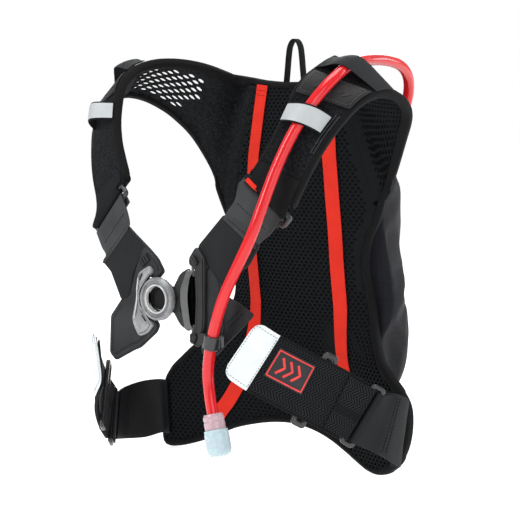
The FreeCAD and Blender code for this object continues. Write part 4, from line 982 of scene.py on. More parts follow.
def runs_of(P):
    """The outline without the two stretches where the tape runs on round the shoulder yokes."""
    yoke = (np.abs(P[:, 0]) > 44) & (P[:, 1] > 225)
    k = np.where(yoke)[0][0]
    P, yoke = np.roll(P, -k, 0), np.roll(yoke, -k)
    out, cur = [], []
    for p, y in zip(P, yoke):
        if y:
            if len(cur) > 3:
                out.append(np.array(cur))
            cur = []
        else:
            cur.append(p)
    if len(cur) > 3:
        out.append(np.array(cur))
    return out


for k, (P, Q) in enumerate(zip(runs_of(BP), runs_of(IP))):
    C3, U3, N3 = xz_frames(P, False)
    sweep("panel_binding_%d" % k, C3, U3, N3, bprof, MT["binding"], body="pack", stands=("edge_binding",) if k == 0 else (), slot="webbing")
    Ci, Ui, Ni = xz_frames(Q, False)
    stitches("binding_stitch_%d" % k, [(Ci + Ni * 1.05, Ni)], MT["thread"], pitch=3.4, length=2.3, r=0.3, body="pack", slot="webbing")

# plain brushed knit beside the hexagon mesh on the wearer's right
zs = np.linspace(177, 369, 66)
rows = []
for z in zs:
    xs0 = seam_x(z) + 1.5
    # outer edge: under the binding
    tx = np.linspace(xs0, -140, 400)
    d = dist_inside(OUTLINE, tx, np.full(400, z))
    ok = np.where(d > 3.0)[0]
    x1 = tx[ok[-1]] if len(ok) and ok[-1] > 0 else xs0 - 0.5
    x = np.linspace(xs0, min(x1, xs0 - 0.6), 9)
    swell = np.sin(np.linspace(0.12, 1, 9) * math.pi) * 0.5
    f = np.stack([x, yfront(x, np.full(9, z)) - 0.25 - swell, np.full(9, z)], -1)
    b = np.stack([x, yfront(x, np.full(9, z)) + 1.4, np.full(9, z)], -1)
    rows.append(np.vstack([f, b[::-1]]))
rows_mesh("panel_side_knit", np.array(rows), MT["brushed"], body="pack", slot="spacer_mesh")
sp = resample(np.stack([seam_x(np.linspace(180, 366, 60)), np.linspace(180, 366, 60)], 1), step=2.0)
Cs, Us, Ns = xz_frames(sp, False)
stitches("panel_seam_stitch", [(Cs + Ns * 0.8 - Us * 1.2, Ns)], MT["thread"], pitch=3.2, length=2.2, r=0.28, body="pack", slot="spacer_mesh")

# two red elastic bands down the panel
BAND = [(44.0, 361), (47.5, 330), (51, 290), (53.5, 250), (55, 210), (55, 170), (56, 135), (60.5, 105), (70, 75), (83, 50), (92, 37), (100.5, 24.5)]
for side in (1, -1):
    q = cat([(x, 0, z) for x, z in BAND], np.linspace(0, len(BAND) - 1, 90))
    if side < 0:
        q[:, 0] -= 3.0 + 4.0 * sstep((q[:, 2] - 200.0) / 150.0)
    P = resample(np.vstack([q[:1] + (q[:1] - q[1:2]) * 2.2, q])[:, [0, 2]] * np.array([side, 1]), step=4.0)
    Cb, Ub, Nb = xz_frames(P, False)
    sweep("red_band_" + SIDE[side], Cb + Nb * 1.35, Ub, Nb, rect_prof(15.2, 1.1, 0.45, nc=2, nw=3, crown=0.12), MT["red_elastic"], body="pack",
          stands=("elastic_bands",), slot="red_elastic")
    st = []
    for k in (2, len(P) - 3):
        for dd in (-0.6, 0.6):
            w = np.linspace(-6, 6, 12)[:, None]
            st.append((Cb[k] + unit(Cb[k + 1] - Cb[k]) * dd * 4 + Ub[k] * w + Nb[k] * 2.0, Nb[k]))
    stitches("band_stitch_" + SIDE[side], st, MT["thread"], pitch=2.4, length=1.7, r=0.26, body="pack", slot="red_elastic")

# hang loop at the top of the panel
HL = cat([(-11.0, 0, 372.4), (-9.5, 0, 386), (-8.2, 0, 398), (-6.5, 0, 407), (-2.5, 0, 413), (2.5, 0, 413), (6.5, 0, 407), (8.2, 0, 398), (9.5, 0, 386), (11.0, 0, 372.4)],
         np.linspace(0, 9, 46)) + np.array([0, -1.75, 0])
sweep("hang_tape", HL, np.array([0, 1.0, 0]), unit(np.cross(tangents(HL), [0, 1.0, 0])), rect_prof(8.4, 1.9, 0.8, nc=2, nw=1, crown=0.1), MT["webdark"], body="pack", stands=("hang_loop",), slot="webbing")

# ============================================================ pack body
LEV = [(-30, 0.97), (15, 0.995), (38, 1.0), (55, 0.965), (67, 0.86), (76, 0.66)]


def shell_rows():
    P = resample(SHD, count=120, closed=True)
    rows = []
    # front edge against the panel, then back over the crown of the body
    x, z = P[:, 0] * 0.80, 200 + (P[:, 1] - 200) * 0.93
    rows.append(np.stack([x, yfront(x, z) + 10.9, z], -1))
    x, z = P[:, 0] * 0.90, 200 + (P[:, 1] - 200) * 0.965
    rows.append(np.stack([x, yfront(x, z) + 11.0, z], -1))
    x, z = P[:, 0] * 0.995, 200 + (P[:, 1] - 200) * 0.995
    rows.append(np.stack([x * 0.985, yfront(x, z) + 11.4, 200 + (z - 200) * 0.985], -1))
    rows.append(np.stack([x, yfront(x, z) + 12.6, z], -1))
    for y in (18, 24, 30, 38, 44, 50, 55, 59, 63, 67, 70, 73, 75, 76):
        k = float(cat([(a, b, 0) for a, b in LEV], np.array([np.interp(y, [l[0] for l in LEV], np.arange(6))]))[0, 1]) if y < 76 else 0.66
        x, z = P[:, 0] * k, 200 + (P[:, 1] - 200) * k
        yy = np.maximum(y, yfront(x, z) + 13.5 + (y - 18) * 0.2)
        rows.append(np.stack([x, yy, z], -1))
    for k in (0.60, 0.50, 0.38, 0.24, 0.10):
        x, z = P[:, 0] * k, 200 + (P[:, 1] - 200) * k
        rows.append(np.stack([x, np.full(len(x), 76.0), z], -1))
    return np.array(rows), P


SR, SP = shell_rows()


def sim_shell():
    n = SR.shape[1]
    V = np.vstack([SR.reshape(-1, 3), SR[-1].mean(0)[None]])
    F = sweep_rows(SR, False, False)
    c = len(V) - 1
    F += [[c, (len(SR) - 1) * n + j, (len(SR) - 1) * n + (j + 1) % n] for j in range(n)]
    return V, F


def cloth_sim(o, pin_fn, frames=18, pressure=4.0, shrink=-0.04, cap=9.0, stiff=12, bend=0.4):
    """Inflates a cloth mesh for a few frames, then keeps its shape with the movement limited to cap mm."""
    me = o.data
    n = len(me.vertices)
    V0 = np.zeros(n * 3)
    me.vertices.foreach_get("co", V0)
    V0 = V0.reshape(-1, 3)
    w = pin_fn(V0 / 0.001 + ORG)
    vg = o.vertex_groups.new(name="pin")
    for i in range(n):
        if w[i] > 0.01:
            vg.add([i], float(w[i]), "REPLACE")
    md = o.modifiers.new("cloth", "CLOTH")
    cs = md.settings
    cs.quality = 5
    cs.mass = 0.25
    cs.tension_stiffness = stiff
    cs.compression_stiffness = stiff
    cs.shear_stiffness = stiff * 0.5
    cs.bending_stiffness = bend
    cs.use_pressure = True
    cs.uniform_pressure_force = pressure
    cs.shrink_min = shrink
    cs.vertex_group_mass = "pin"
    cs.effector_weights.gravity = 0.0
    md.collision_settings.use_self_collision = False
    md.point_cache.frame_start = 1
    md.point_cache.frame_end = frames
    for f in range(1, frames + 1):
        scene.frame_set(f)
    dg = bpy.context.evaluated_depsgraph_get()
    ev = o.evaluated_get(dg).to_mesh()
    V1 = np.zeros(n * 3)
    ev.vertices.foreach_get("co", V1)
    V1 = V1.reshape(-1, 3)
    o.modifiers.clear()
    o.vertex_groups.clear()
    scene.frame_set(1)
    d = V1 - V0
    L = np.linalg.norm(d, axis=1, keepdims=True)
    c = cap * 0.001
    d = d * np.where(L > c, c / np.maximum(L, 1e-9), 1.0)
    V2 = V0 + np.nan_to_num(d)
    me.vertices.foreach_set("co", V2.ravel())
    me.update()
    return o


def wrinkle(V, amp=1.2):
    """Soft hollows and creases for loose fabric, from a smooth noise field; V in mm."""
    out = np.zeros(len(V))
    for i, p in enumerate(V):
        a = noise.noise(Vector(p * 0.021))
        b = noise.noise(Vector((p[0] * 0.05 + 7, p[1] * 0.03, p[2] * 0.02 + 3)))
        out[i] = amp * (0.8 * a + 0.6 * b)
    return out


Vs, Fs = sim_shell()
shell = make("pack_cloth", Vs, Fs, MT["nylon"], sharp=70)


def shell_pin(P):
    d = P[:, 1] - yfront(P[:, 0], P[:, 2])
    return np.clip(1.0 - (d - 13.0) / 9.0, 0, 1)


cloth_sim(shell, shell_pin, frames=16, pressure=2.2, shrink=-0.05, cap=5.0)
# slack of the fabric: shallow dents between the seams
P = np.zeros(len(shell.data.vertices) * 3)
shell.data.vertices.foreach_get("co", P)
P = P.reshape(-1, 3) / 0.001 + ORG
nr = np.zeros(len(P) * 3)
shell.data.vertices.foreach_get("normal", nr)
nr = nr.reshape(-1, 3)
loose = np.clip((P[:, 1] - 16) / 25.0, 0, 1)
P = P + nr * (wrinkle(P, 1.6) * loose - 1.0 * loose)[:, None]


def zip_y(x):
    """Depth of the zip's tape: flat in the middle, following the crown of the body at its ends."""
    return 75.6 - 4.6 * sstep((np.abs(x) - 54.0) / 22.0)


# the cloth lies flat under the zip
hold = (1 - sstep((np.abs(P[:, 2] - 262.0) - 5.0) / 15.0)) * (1 - sstep((np.abs(P[:, 0]) - 76.0) / 8.0)) * (P[:, 1] > 58)
P[:, 1] += hold * (zip_y(P[:, 0]) - 0.7 - P[:, 1])
shell.data.vertices.foreach_set("co", M(P).ravel())
sub = shell.modifiers.new("fine", "SUBSURF")
sub.levels = sub.render_levels = 1
shell.modifiers.new("wall", "SOLIDIFY").thickness = 0.0018
shell.modifiers["wall"].offset = -1
dg = bpy.context.evaluated_depsgraph_get()
me2 = bpy.data.meshes.new_from_object(shell.evaluated_get(dg))
shell.modifiers.clear()
shell.data = me2
me2.shade_smooth()
me2.set_sharp_from_angle(angle=math.radians(60))
place(shell, "pack", ("pack_shell",))

# ============================================================ shoulder yokes and straps
END = {1: 10.68, -1: 11.42}
STRAP = {}
for side in (1, -1):
    sn = SIDE[side]
    R = Rib(SH_IN + ([(74.6, -165.2, 273.0)] if side < 0 else []), SH_OU + ([(119.4, -160.0, 230.5)] if side < 0 else []), side=side)
    SS = np.linspace(0.11, END[side], 400)
    Pm = R.at(SS, 0.5, 0)
    ARC = np.r_[0, np.cumsum(np.linalg.norm(np.diff(Pm, axis=0), axis=1))]
    WID = R.width(SS)
    sgn = -1.0        # n > 0 is the outside of the strap; the inside faces the wearer

    def s_of(p):
        return np.interp(p, ARC, SS)

    def thin(s, u):
        """Share of the strap's thickness that the ventilated part of the yoke keeps."""
        e = np.minimum(np.minimum((s - 1.6) / 0.5, (6.1 - s) / 0.7), np.minimum((u - 0.10) / 0.07, (0.93 - u) / 0.07))
        return 1.0 - 0.74 * sstep(e)

    def smap(p, q, n, R=R, side=side):
        p = np.asarray(p, float)
        s = s_of(p)
        w = np.interp(s, SS, WID)
        u = 1.0 - q / w
        pad = 1.0 + 0.14 * np.sin(np.clip(u, 0, 1) * math.pi)
        k = thin(s, u) if side < 0 else 1.0 - 0.35 * (1 - thin(s, u)) / 0.74
        on = R.at(s, u, -n * k * pad)
        # before the strap leaves the panel the cloth lies on the panel's face and dives into its padding
        tan = unit(R.at(np.full(len(p), SS[0] + 0.3), u, 0) - R.at(np.full(len(p), SS[0]), u, 0))
        on = on + tan * np.minimum(p, 0)[:, None]
        J = R.at(np.full(len(p), SS[0]), u, 0)
        x = J[:, 0] + side * p * 0.95
        z = J[:, 2]
        lift = 0.75 + 2.6 * np.minimum(0, (p + 6) / 10.0)
        face = np.stack([x, yfront(x, z) - lift + (3.7 - n) / 7.4 * 6.5, z], -1)
        f = sstep((p + 9.0) / 30.0)[:, None]
        return face * (1 - f) + on * f

    def skeep(p, q, R=R):
        s = s_of(p)
        w = np.interp(s, SS, WID)
        mg = 5.2 if side < 0 else 3.4
        return (p > -19) & (p < ARC[-1] - mg) & (q > mg) & (q < w - mg)

    def skind(p, q, side=side):
        s = s_of(p)
        w = np.interp(s, SS, WID)
        u = 1.0 - q / w
        if side < 0:
            inside = (s > 2.15) & (s < 5.9) & (u > 0.17) & (u < 0.87) & (u < 0.36 + (s - 1.9) * 0.36)
            return np.where(inside, 2, 0)
        return np.where((q > 6.0) & (q < w - 6.0) & (p > 2), 1, 0)

    if side < 0:
        core = hexplate("strap_core_" + sn, smap, ((-22, 0), (ARC[-1], WID.max())), 11.4, 5.9, skeep, skind, (3.7, 3.0), 3.7, -3.7, 0, MT["brushed"], crown=0.25, lip=0.2,
                        stands=("shoulder_yoke_" + sn, "shoulder_strap_" + sn), slot="spacer_mesh", blend=SWING[side], sharp=30)
    else:
        core = hexplate("strap_core_" + sn, smap, ((-22, 0), (ARC[-1], WID.max())), 5.7, 3.55, skeep, skind, (1.8, 1.5), 3.7, -3.7, 1.6, MT["mesh"], crown=0.25, lip=0.35,
                        stands=("shoulder_yoke_" + sn, "shoulder_strap_" + sn), slot="spacer_mesh", blend=SWING[side], sharp=30)
    # outer cover of brushed cloth with a slightly raised middle, on the part of the strap in front of the shoulder
    def cover_prof(w):
        x = np.linspace(-w / 2 + 4, w / 2 - 4, 9)
        h = 4.35 + 0.9 * np.cos(x / (w / 2) * math.pi / 2)
        return np.vstack([np.stack([x, h], 1), np.stack([x[::-1], h[::-1] - 0.9], 1)])
    R.body("strap_face_" + sn, 5.0 if side > 0 else 6.3, END[side] - 0.03, cover_prof, MT["brushed"], step=5.0, slot="strap_mesh", blend=SWING[side])
    # bound edges: one tape from the panel's rim round the strap's rim
    for tag, u in (("inner", 0.0), ("outer", 1.0)):
        if tag == "inner":
            Q = BP[(BP[:, 1] > 362) & (BP[:, 0] * side > 39.5) & (BP[:, 0] * side < 59.5)]
            Q = Q[np.argsort(Q[:, 0] * side)][::2]
            ref = np.array([0, 0, -1.0])
        else:
            Q = BP[(BP[:, 1] > 219) & (BP[:, 1] < 243) & (BP[:, 0] * side > 60)]
            Q = Q[np.argsort(Q[:, 1])][::2]
            ref = np.array([-1.0 * side, 0, 0])
        Cp, Up, Np = xz_frames(Q, False)
        Up = Up * np.sign(Up @ ref)[:, None]
        k0 = np.hstack([Cp - Np * 5.15, Up, -Np, np.full((len(Q), 1), 3.86), np.full((len(Q), 1), 11.0)])
        S_, L_ = R.arc(0.42 if tag == "inner" else 0.30, END[side], 6.0, u)
        C = R.at(S_, np.full(len(S_), u), 0)
        U = unit(R.at(S_, np.full(len(S_), 1.0 - u), 0) - C)
        Nn = R.normal(S_, np.full(len(S_), u))
        wide = np.interp(S_, [0, 2, 5, 7, 11], [5.2, 5.6, 5.0, 4.3, 4.0])[:, None]
        k1 = np.hstack([C + U * wide * 0.92, U, Nn, wide, np.full((len(S_), 1), 9.2)])
        K = np.vstack([k0, k1])
        K = resample(cat(K, np.linspace(0, len(K) - 1, 6 * len(K))), count=int(len(K) * 1.6))
        C, U, Nn, wide, tk = K[:, :3], unit(K[:, 3:6]), unit(K[:, 6:9]), K[:, 9], K[:, 10]
        prof = rect_prof(1.0, 1.0, 0.36, nc=4, nw=1)
        prof = np.stack([np.stack([prof[:, 0] * 2 * w_, prof[:, 1] * t_], 1) for w_, t_ in zip(wide, tk)])
        sweep("strap_edge_%s_%s" % (tag, sn), C, U, Nn, prof, MT["binding"], slot="webbing", blend=SWING[side])
        st = []
        for sg in (1, -1):
            st.append((C + U * (wide * 0.98 - 1.0)[:, None] + Nn * (tk / 2 - 0.12)[:, None] * sg, Nn * sg))
        stitches("strap_edge_stitch_%s_%s" % (tag, sn), st, MT["thread"], pitch=3.6, length=2.3, r=0.28, slot="webbing", blend=SWING[side])
    # bound lower end
    s1 = END[side]
    us = np.linspace(0.0, 1.0, 16)
    C = R.at(np.full(16, s1 - 0.06), us, 0)
    U = unit(R.at(np.full(16, s1 - 0.4), us, 0) - C)
    sweep("strap_end_" + sn, C, U, R.normal(np.full(16, s1 - 0.06), us), rect_prof(7.0, 8.8, 3.0, nc=3), MT["binding"], slot="webbing", body="harness_" + sn)
    STRAP[side] = R

    # stitched patch on the shoulder: plain, with a row of stitches round its edge
    def patch_prof(w):
        return rect_prof(w, 1.5, 0.6, nc=2, nw=3, crown=0.15, crown2=0.0, n0=4.0 + 0.4 + 0.8 + 0.55)
    R.body("patch_" + sn, 6.42, 7.3, patch_prof, MT["leather"], step=3.0, u0=0.05, u1=0.95, slot="label", body="harness_" + sn, stands=("shoulder_patch_" + sn,))
    o = 6.75
    lines = [R.line(6.50, 7.22, 0.10, o, 1.5), R.line(6.50, 7.22, 0.90, o, 1.5)]
    for s in (6.50, 7.22):
        uu = np.linspace(0.10, 0.90, 24)
        lines.append((R.at(np.full(24, s), uu, o), R.normal(np.full(24, s), uu)))
    stitches("patch_stitch_" + sn, lines, MT["thread_grey"], pitch=3.0, length=1.9, r=0.26, slot="label", body="harness_" + sn)
    # two rows of embossed chevrons where a badge would be
    ridges = []
    for k in range(5):
        u0 = 0.26 + 0.115 * k
        pts = [(6.70, u0 + 0.0), (6.86, u0 + 0.075), (7.02, u0 + 0.0)]
        q = np.array([R.at(s, u, o - 0.1) for s, u in pts])
        q = resample(q, step=1.2)
        nn = R.normal(np.array([6.86]), np.array([u0]))[0]
        T = tangents(q)
        Uu = unit(np.cross(T, nn))
        pr = rect_prof(2.2, 0.7, 0.3, nc=2)
        rr = q[:, None] + Uu[:, None] * pr[None, :, 0:1] + nn[None, None] * pr[None, :, 1:2]
        ridges.append((rr.reshape(-1, 3), sweep_rows(rr), None))
    join_meshes("patch_emboss_" + sn, ridges, MT["leather"], slot="label", body="harness_" + sn)

    # elastic keeper and reflective loop, both arched so that the hose passes under them
    def arch_strip(name, s0, s1, arch, t, mat, inset=0.0, **kw):
        A = np.array([(u, 0, h) for u, h in arch])
        A = cat(A, np.linspace(0, len(A) - 1, 40))[:, [0, 2]]
        uu, hh = A[:, 0], A[:, 1]
        nn = 7
        S_ = np.linspace(s0, s1, nn)
        rows = []
        for u, h in zip(uu, hh):
            e = np.linspace(-1, 1, nn)
            lip = t / 2 * np.sqrt(np.clip(1 - np.abs(e) ** 6, 0.15, 1))
            top = R.at(S_, np.full(nn, u), h + t / 2 + lip + inset)
            bot = R.at(S_, np.full(nn, u), h + t / 2 - lip + inset)
            rows.append(np.vstack([top, bot[::-1]]))
        rows = np.array(rows)
        return rows_mesh(name, rows, mat, **kw)
    ak = [(0.03, 4.6), (0.13, 8.5), (0.26, 15.2), (0.385, 17.7), (0.52, 15.6), (0.70, 11.2), (0.97, 4.6)]
    arch_strip("keeper_" + sn, 5.34, 6.24, ak, 1.6, MT["elastic"], body="harness_" + sn, stands=("hose_keeper_" + sn,), slot="webbing")
    al = [(0.02, 4.6), (0.12, 11.5), (0.27, 18.2), (0.42, 19.9), (0.57, 17.0), (0.70, 11.0), (0.80, 4.6)]
    arch_strip("loop_backing_" + sn, 7.62, 8.22, al, 1.3, MT["webdark"], body="harness_" + sn, stands=("reflective_loop_" + sn,), slot="webbing")
    # the loop's film is the copy darkened as painted shade
    arch_strip("loop_reflector_" + sn, 7.665, 8.175, al, 0.35, MT["reflective"], inset=1.35, body="harness_" + sn, slot="reflective")
    # bar tacks beside the reflective loop
    tack = []
    for u in (0.84, 0.90):
        tack.append(R.line(7.55, 8.9, u, 5.6, 1.0))
    stitches("loop_tack_" + sn, tack, MT["thread_grey"], pitch=2.2, length=1.6, r=0.24, slot="webbing", body="harness_" + sn)


# ============================================================ moulded loops
def loop_frame(name, mid, long_dir, across, span, slot_len, depth=15.0, gap=6.5, thick=4.0, mat=None, curve=0.0, **kw):
    """Moulded rectangular ring with rounded bars: two long bars and two end bars."""
    ld = unit(long_dir)
    ac = unit(np.asarray(across, float) - ld * (np.asarray(across, float) @ ld))
    nz = np.cross(ld, ac)
    mid = np.asarray(mid, float)
    # rail of the outer rim, sampled round a rounded rectangle, and the matching inner rim
    def rr(L, D, r, n=7):
        out = []
        for cx, cy, a0 in ((L / 2 - r, D / 2 - r, 0), (-L / 2 + r, D / 2 - r, 90), (-L / 2 + r, -D / 2 + r, 180), (L / 2 - r, -D / 2 + r, 270)):
            for k in range(n + 1):
                a = math.radians(a0 + 90 * k / n)
                out.append((cx + r * math.cos(a), cy + r * math.sin(a)))
        return np.array(out)
    O = rr(span, depth, 4.0)
    I = rr(slot_len, gap, 1.6)
    mids = (O + I) / 2
    rows = []
    for o_, i_ in zip(O, I):
        c, hw = (o_ + i_) / 2, np.linalg.norm(o_ - i_) / 2
        d = unit(o_ - i_)
        sec = rect_prof(2 * hw, thick, min(1.5, thick * 0.42), nc=4, nw=1)
        q = c + d * sec[:, 0:1]
        bow = curve * (1 - (q[:, 0] / (span / 2)) ** 2)
        rows.append(mid + ld * q[:, 0:1] + ac * q[:, 1:2] + nz * (sec[:, 1:2] + bow[:, None]))
    return rows_mesh(name, np.array(rows), mat or MT["gloss"], closed=True, **kw)


def turn(name, ring, sg, tail, half, mat, r=3.1, turn_at=1.5, back=12.0, t=1.7, step=1.6, **kw):
    """Webbing laid round one bar of a loop: it comes from behind, turns in the slot and runs out over the front."""
    mid, ld, ac, nz = ring
    I, O = [], []
    for a, n in ((back, -r + 0.4), (6.4, -r), (2.9, -r * 0.8), (turn_at, 0.0), (2.9, r * 0.8), (6.4, r)):
        c = mid + ac * a * sg + nz * n
        I.append(c - ld * half[0])
        O.append(c + ld * half[1])
    for a, b in tail:
        I.append(a)
        O.append(b)
    G = Rib(I, O)
    G.body(name, 0.0, len(I) - 1.0, lambda w: rect_prof(w, t, 0.5, nc=2, nw=3, crown=0.05), mat, step=step, **kw)
    return G


def ring_axes(a, b, run, out):
    ld = unit(b - a)
    ac = unit(run - ld * (run @ ld))
    nz = np.cross(ld, ac)
    return (a + b) / 2, ld, ac, nz * np.sign(nz @ np.asarray(out, float))


UP = {1: ((75, -166, 283.2), (118.4, -160, 246.7)), -1: ((-75, -166, 271.8), (-118.5, -160, 227.5))}
for side in (1, -1):
    sn = SIDE[side]
    pi, po = (np.array(q, float) for q in UP[side])
    run = np.array((-0.52 * side, -0.12, -0.83))
    loop_frame("shoulder_ring_" + sn, (pi + po) / 2, po - pi, run, 62, 54, body="harness_" + sn, stands=("shoulder_loop_" + sn,), slot="black_plastic")

# ============================================================ webbing from the shoulder loops to the chest wings
RINGS = {}
LAST = {1: (np.array((60.8, -180.5, 248.2)), np.array((98.4, -180.3, 223.0))), -1: (np.array((-58.6, -180.2, 234.6)), np.array((-91.2, -180.0, 199.6)))}
FOLD = {1: [((73, -168.8, 277.0), (114.5, -163, 241.5)), ((66, -171.8, 266.5), (108.5, -167.5, 234.5)), ((60.0, -174.6, 256.5), (102.5, -172.5, 228.5))],
        -1: [((-71.5, -168.8, 265.5), (-113.5, -163, 221.5)), ((-66.5, -171.5, 252.5), (-106.5, -167.5, 211.5)), ((-60.5, -174.2, 240.5), (-96, -172.5, 204.5))]}
for side in (1, -1):
    sn = SIDE[side]
    st = [tuple(np.array(q, float) for q in p) for p in FOLD[side]]
    pi, po = (np.array(q, float) for q in UP[side])
    ring = ring_axes(pi, po, np.array((-0.52 * side, -0.12, -0.83)), (0, -1, 0))
    tail = [(a + (b - a) * 0.04, b + (a - b) * 0.05) for a, b in st[1:]]
    tail.append(LAST[side])
    half = (30.0, 24.0) if side > 0 else (24.0, 30.0)
    F_ = turn("fold_" + sn, ring, 1.0, tail, half, MT["foldcloth"], t=2.0, step=2.0, body="harness_" + sn, stands=("shoulder_webbing_" + sn,), slot="webbing")
    # the strap's own end, laid round the upper bar
    R = STRAP[side]
    e = END[side]
    tail = [(R.at(e + 0.05, 0.06, 5.0), R.at(e + 0.05, 0.94, 5.0)), (R.at(e - 0.35, 0.07, 5.4), R.at(e - 0.35, 0.93, 5.4)), (R.at(e - 0.75, 0.07, 5.2), R.at(e - 0.75, 0.93, 5.2))]
    turn("strap_turn_" + sn, ring, -1.0, tail, half, MT["webdark"], back=9.0, body="harness_" + sn, slot="webbing")
    RINGS[side] = ring
    lines = []
    for s in (6.05, 7.7):
        uu = np.linspace(0.08, 0.92, 30)
        nn = F_.normal(np.full(30, s), uu)
        out = 1.0 if (nn[15] @ np.array([0, -1, 0])) > 0 else -1.0
        lines.append((F_.at(np.full(30, s), uu, out * 1.05), nn * out))
    stitches("fold_stitch_" + sn, lines, MT["thread"], pitch=3.2, length=2.0, r=0.34, body="harness_" + sn, slot="webbing")


# ============================================================ flat moulded and cut pieces
def ease(P, r, n=4):
    """Closed 2D outline with rounded corners."""
    P = np.asarray(P, float)
    out = []
    for i in range(len(P)):
        a, b, c = P[i - 1], P[i], P[(i + 1) % len(P)]
        rr = r[i] if hasattr(r, "__len__") else r
        q = min(rr, np.linalg.norm(a - b) * 0.47, np.linalg.norm(c - b) * 0.47)
        s, e = b + unit(a - b) * q, b + unit(c - b) * q
        for k in range(n + 1):
            t = k / n
            out.append(s * (1 - t) ** 2 + b * 2 * t * (1 - t) + e * t * t)
    P = np.array(out)
    keep = np.linalg.norm(P - np.roll(P, 1, 0), axis=1) > 0.02
    return P[keep]


def shrink(P, d):
    T = unit(np.roll(P, -1, 0) - np.roll(P, 1, 0))
    A = 0.5 * np.sum(P[:, 0] * np.roll(P[:, 1], -1) - np.roll(P[:, 0], -1) * P[:, 1])
    sg = 1.0 if A > 0 else -1.0
    return P + sg * d * np.stack([-T[:, 1], T[:, 0]], 1)


def plate(name, poly, y_front, thick, bevel, mat, corner=2.0, lip=None, curve=None, rot=0.0, **kw):
    """Flat piece in the X, Z plane with its outer face at y_front and eased edges. lip=(inset, height) raises a rim round it."""
    P = ease(poly, corner)
    steps = [(bevel, y_front + thick), (0.0, y_front + thick - bevel * 0.6), (0.0, y_front + bevel), (bevel * 0.3, y_front + bevel * 0.3), (bevel, y_front)]
    if lip:
        i, h = lip
        steps += [(bevel + i, y_front), (bevel + i + 0.35, y_front + h)]
    rows = []
    for d, y in steps:
        Q = shrink(P, d) if d > 0 else P
        rows.append(np.stack([Q[:, 0], np.full(len(Q), y), Q[:, 1]], -1))
    rows = np.array(rows)
    if curve:
        rows[..., 1] += curve(rows[..., 0], rows[..., 2])
    c, s = math.cos(math.radians(rot)), math.sin(math.radians(rot))
    V = rows.reshape(-1, 3)
    uv = np.stack([V[:, 0] * c + V[:, 2] * s, -V[:, 0] * s + V[:, 2] * c], 1)
    n = rows.shape[1]
    F = sweep_rows(rows, False, False)
    F.append(list(range(n)))
    F.append([(len(rows) - 1) * n + j for j in range(n)][::-1])
    return make(name, V, F, mat, uv=uv, **kw)


def box(name, c, size, mat, xdir=(1, 0, 0), ydir=(0, 1, 0), r=0.6, **kw):
    """Small block with rounded edges along its longest direction."""
    x = unit(xdir)
    y = unit(np.asarray(ydir, float) - x * (np.asarray(ydir, float) @ x))
    z = np.cross(x, y)
    L, W, H = size
    c = np.asarray(c, float)
    rows = []
    for t, k in ((-0.5, 0.72), (-0.5 + min(0.08, r / L), 0.94), (-0.5 + min(0.16, 2 * r / L), 1.0), (0.5 - min(0.16, 2 * r / L), 1.0), (0.5 - min(0.08, r / L), 0.94), (0.5, 0.72)):
        p = rect_prof(W, H, r, nc=3, nw=1) * (1 - (1 - k) * min(1.0, 2 * r / min(W, H)))
        rows.append(c + x * t * L + y * p[:, 0:1] + z * p[:, 1:2])
    return rows_mesh(name, np.array(rows), mat, **kw)


RC = np.array([-18.5, 170.5])
WING_L = [(61.0, 252.5), (101.5, 225.5), (88.7, 207.1), (61.4, 189.2), (61.8, 178.4), (80.0, 171.5),
          (95.0, 163.5), (82.8, 151.7), (61.3, 133.6), (50.4, 122.6), (32.6, 122.6), (30.6, 140), (32.0, 172), (30.6, 205), (29.0, 222.5), (32.0, 225.5)]
WING_R = [(-94.5, 201.5), (-60.5, 237.0), (-52.6, 230.8), (-32.5, 216.4), (-21.8, 208.0), (-13.5, 196.0),
          (-44.5, 196), (-44.5, 146), (-20.0, 146.0), (-23.6, 138.4), (-45.0, 121.9), (-53.5, 118.8), (-77.3, 107.0),
          (-85.3, 114.1), (-83.6, 149.9), (-68.2, 167.9), (-83, 192.4)]
WING_R2 = [(-94.5, 201.5), (-60.5, 237.0), (-52.6, 230.8), (-32.5, 216.4), (-21.8, 208.0), (-13.5, 196.0), (-20.5, 189.0), (-40.0, 190),
           (-41.5, 152), (-26.5, 151.5), (-20.0, 146.0), (-23.6, 138.4), (-45.0, 121.9), (-53.5, 118.8), (-77.3, 107.0),
           (-85.3, 114.1), (-83.6, 149.9), (-68.2, 167.9), (-83, 192.4)]


def flat_line(pts, y, step=1.0, closed=False):
    P = ease(pts, 3.0) if closed else np.asarray(pts, float)
    P = resample(P, step=step, closed=closed)
    if closed:
        P = np.vstack([P, P[:1]])
    return np.stack([P[:, 0], np.full(len(P), y), P[:, 1]], -1)


def ridge(name, pts, y, w, h, mat, closed=False, corner=3.0, **kw):
    """Raised welt that follows a line on a flat piece."""
    P = np.asarray(pts, float)
    if closed:
        P = resample(ease(P, corner), step=1.5, closed=True)
    else:
        q = np.stack([P[:, 0], P[:, 1], np.zeros(len(P))], 1)
        P = resample(cat(q, np.linspace(0, len(P) - 1, 12 * len(P)))[:, :2], step=1.5)
    C = np.stack([P[:, 0], np.full(len(P), y), P[:, 1]], -1)
    T = tangents(C, closed)
    N_ = np.array([0, -1.0, 0])
    U_ = unit(np.cross(T, N_))
    return sweep(name, C, U_, N_, rect_prof(w, h, h * 0.45, nc=3, crown=0.1), mat, closed=closed, **kw)


YW = -178.4
mid, ld, ac, nz = RINGS[1]
box("pull_tab_red", mid - ld * 19.5 - ac * 3.4 + nz * 4.9, (12.5, 4.4, 1.3), MT["red_elastic"], xdir=ld, ydir=ac, r=0.5, body="harness_left", slot="red_elastic")
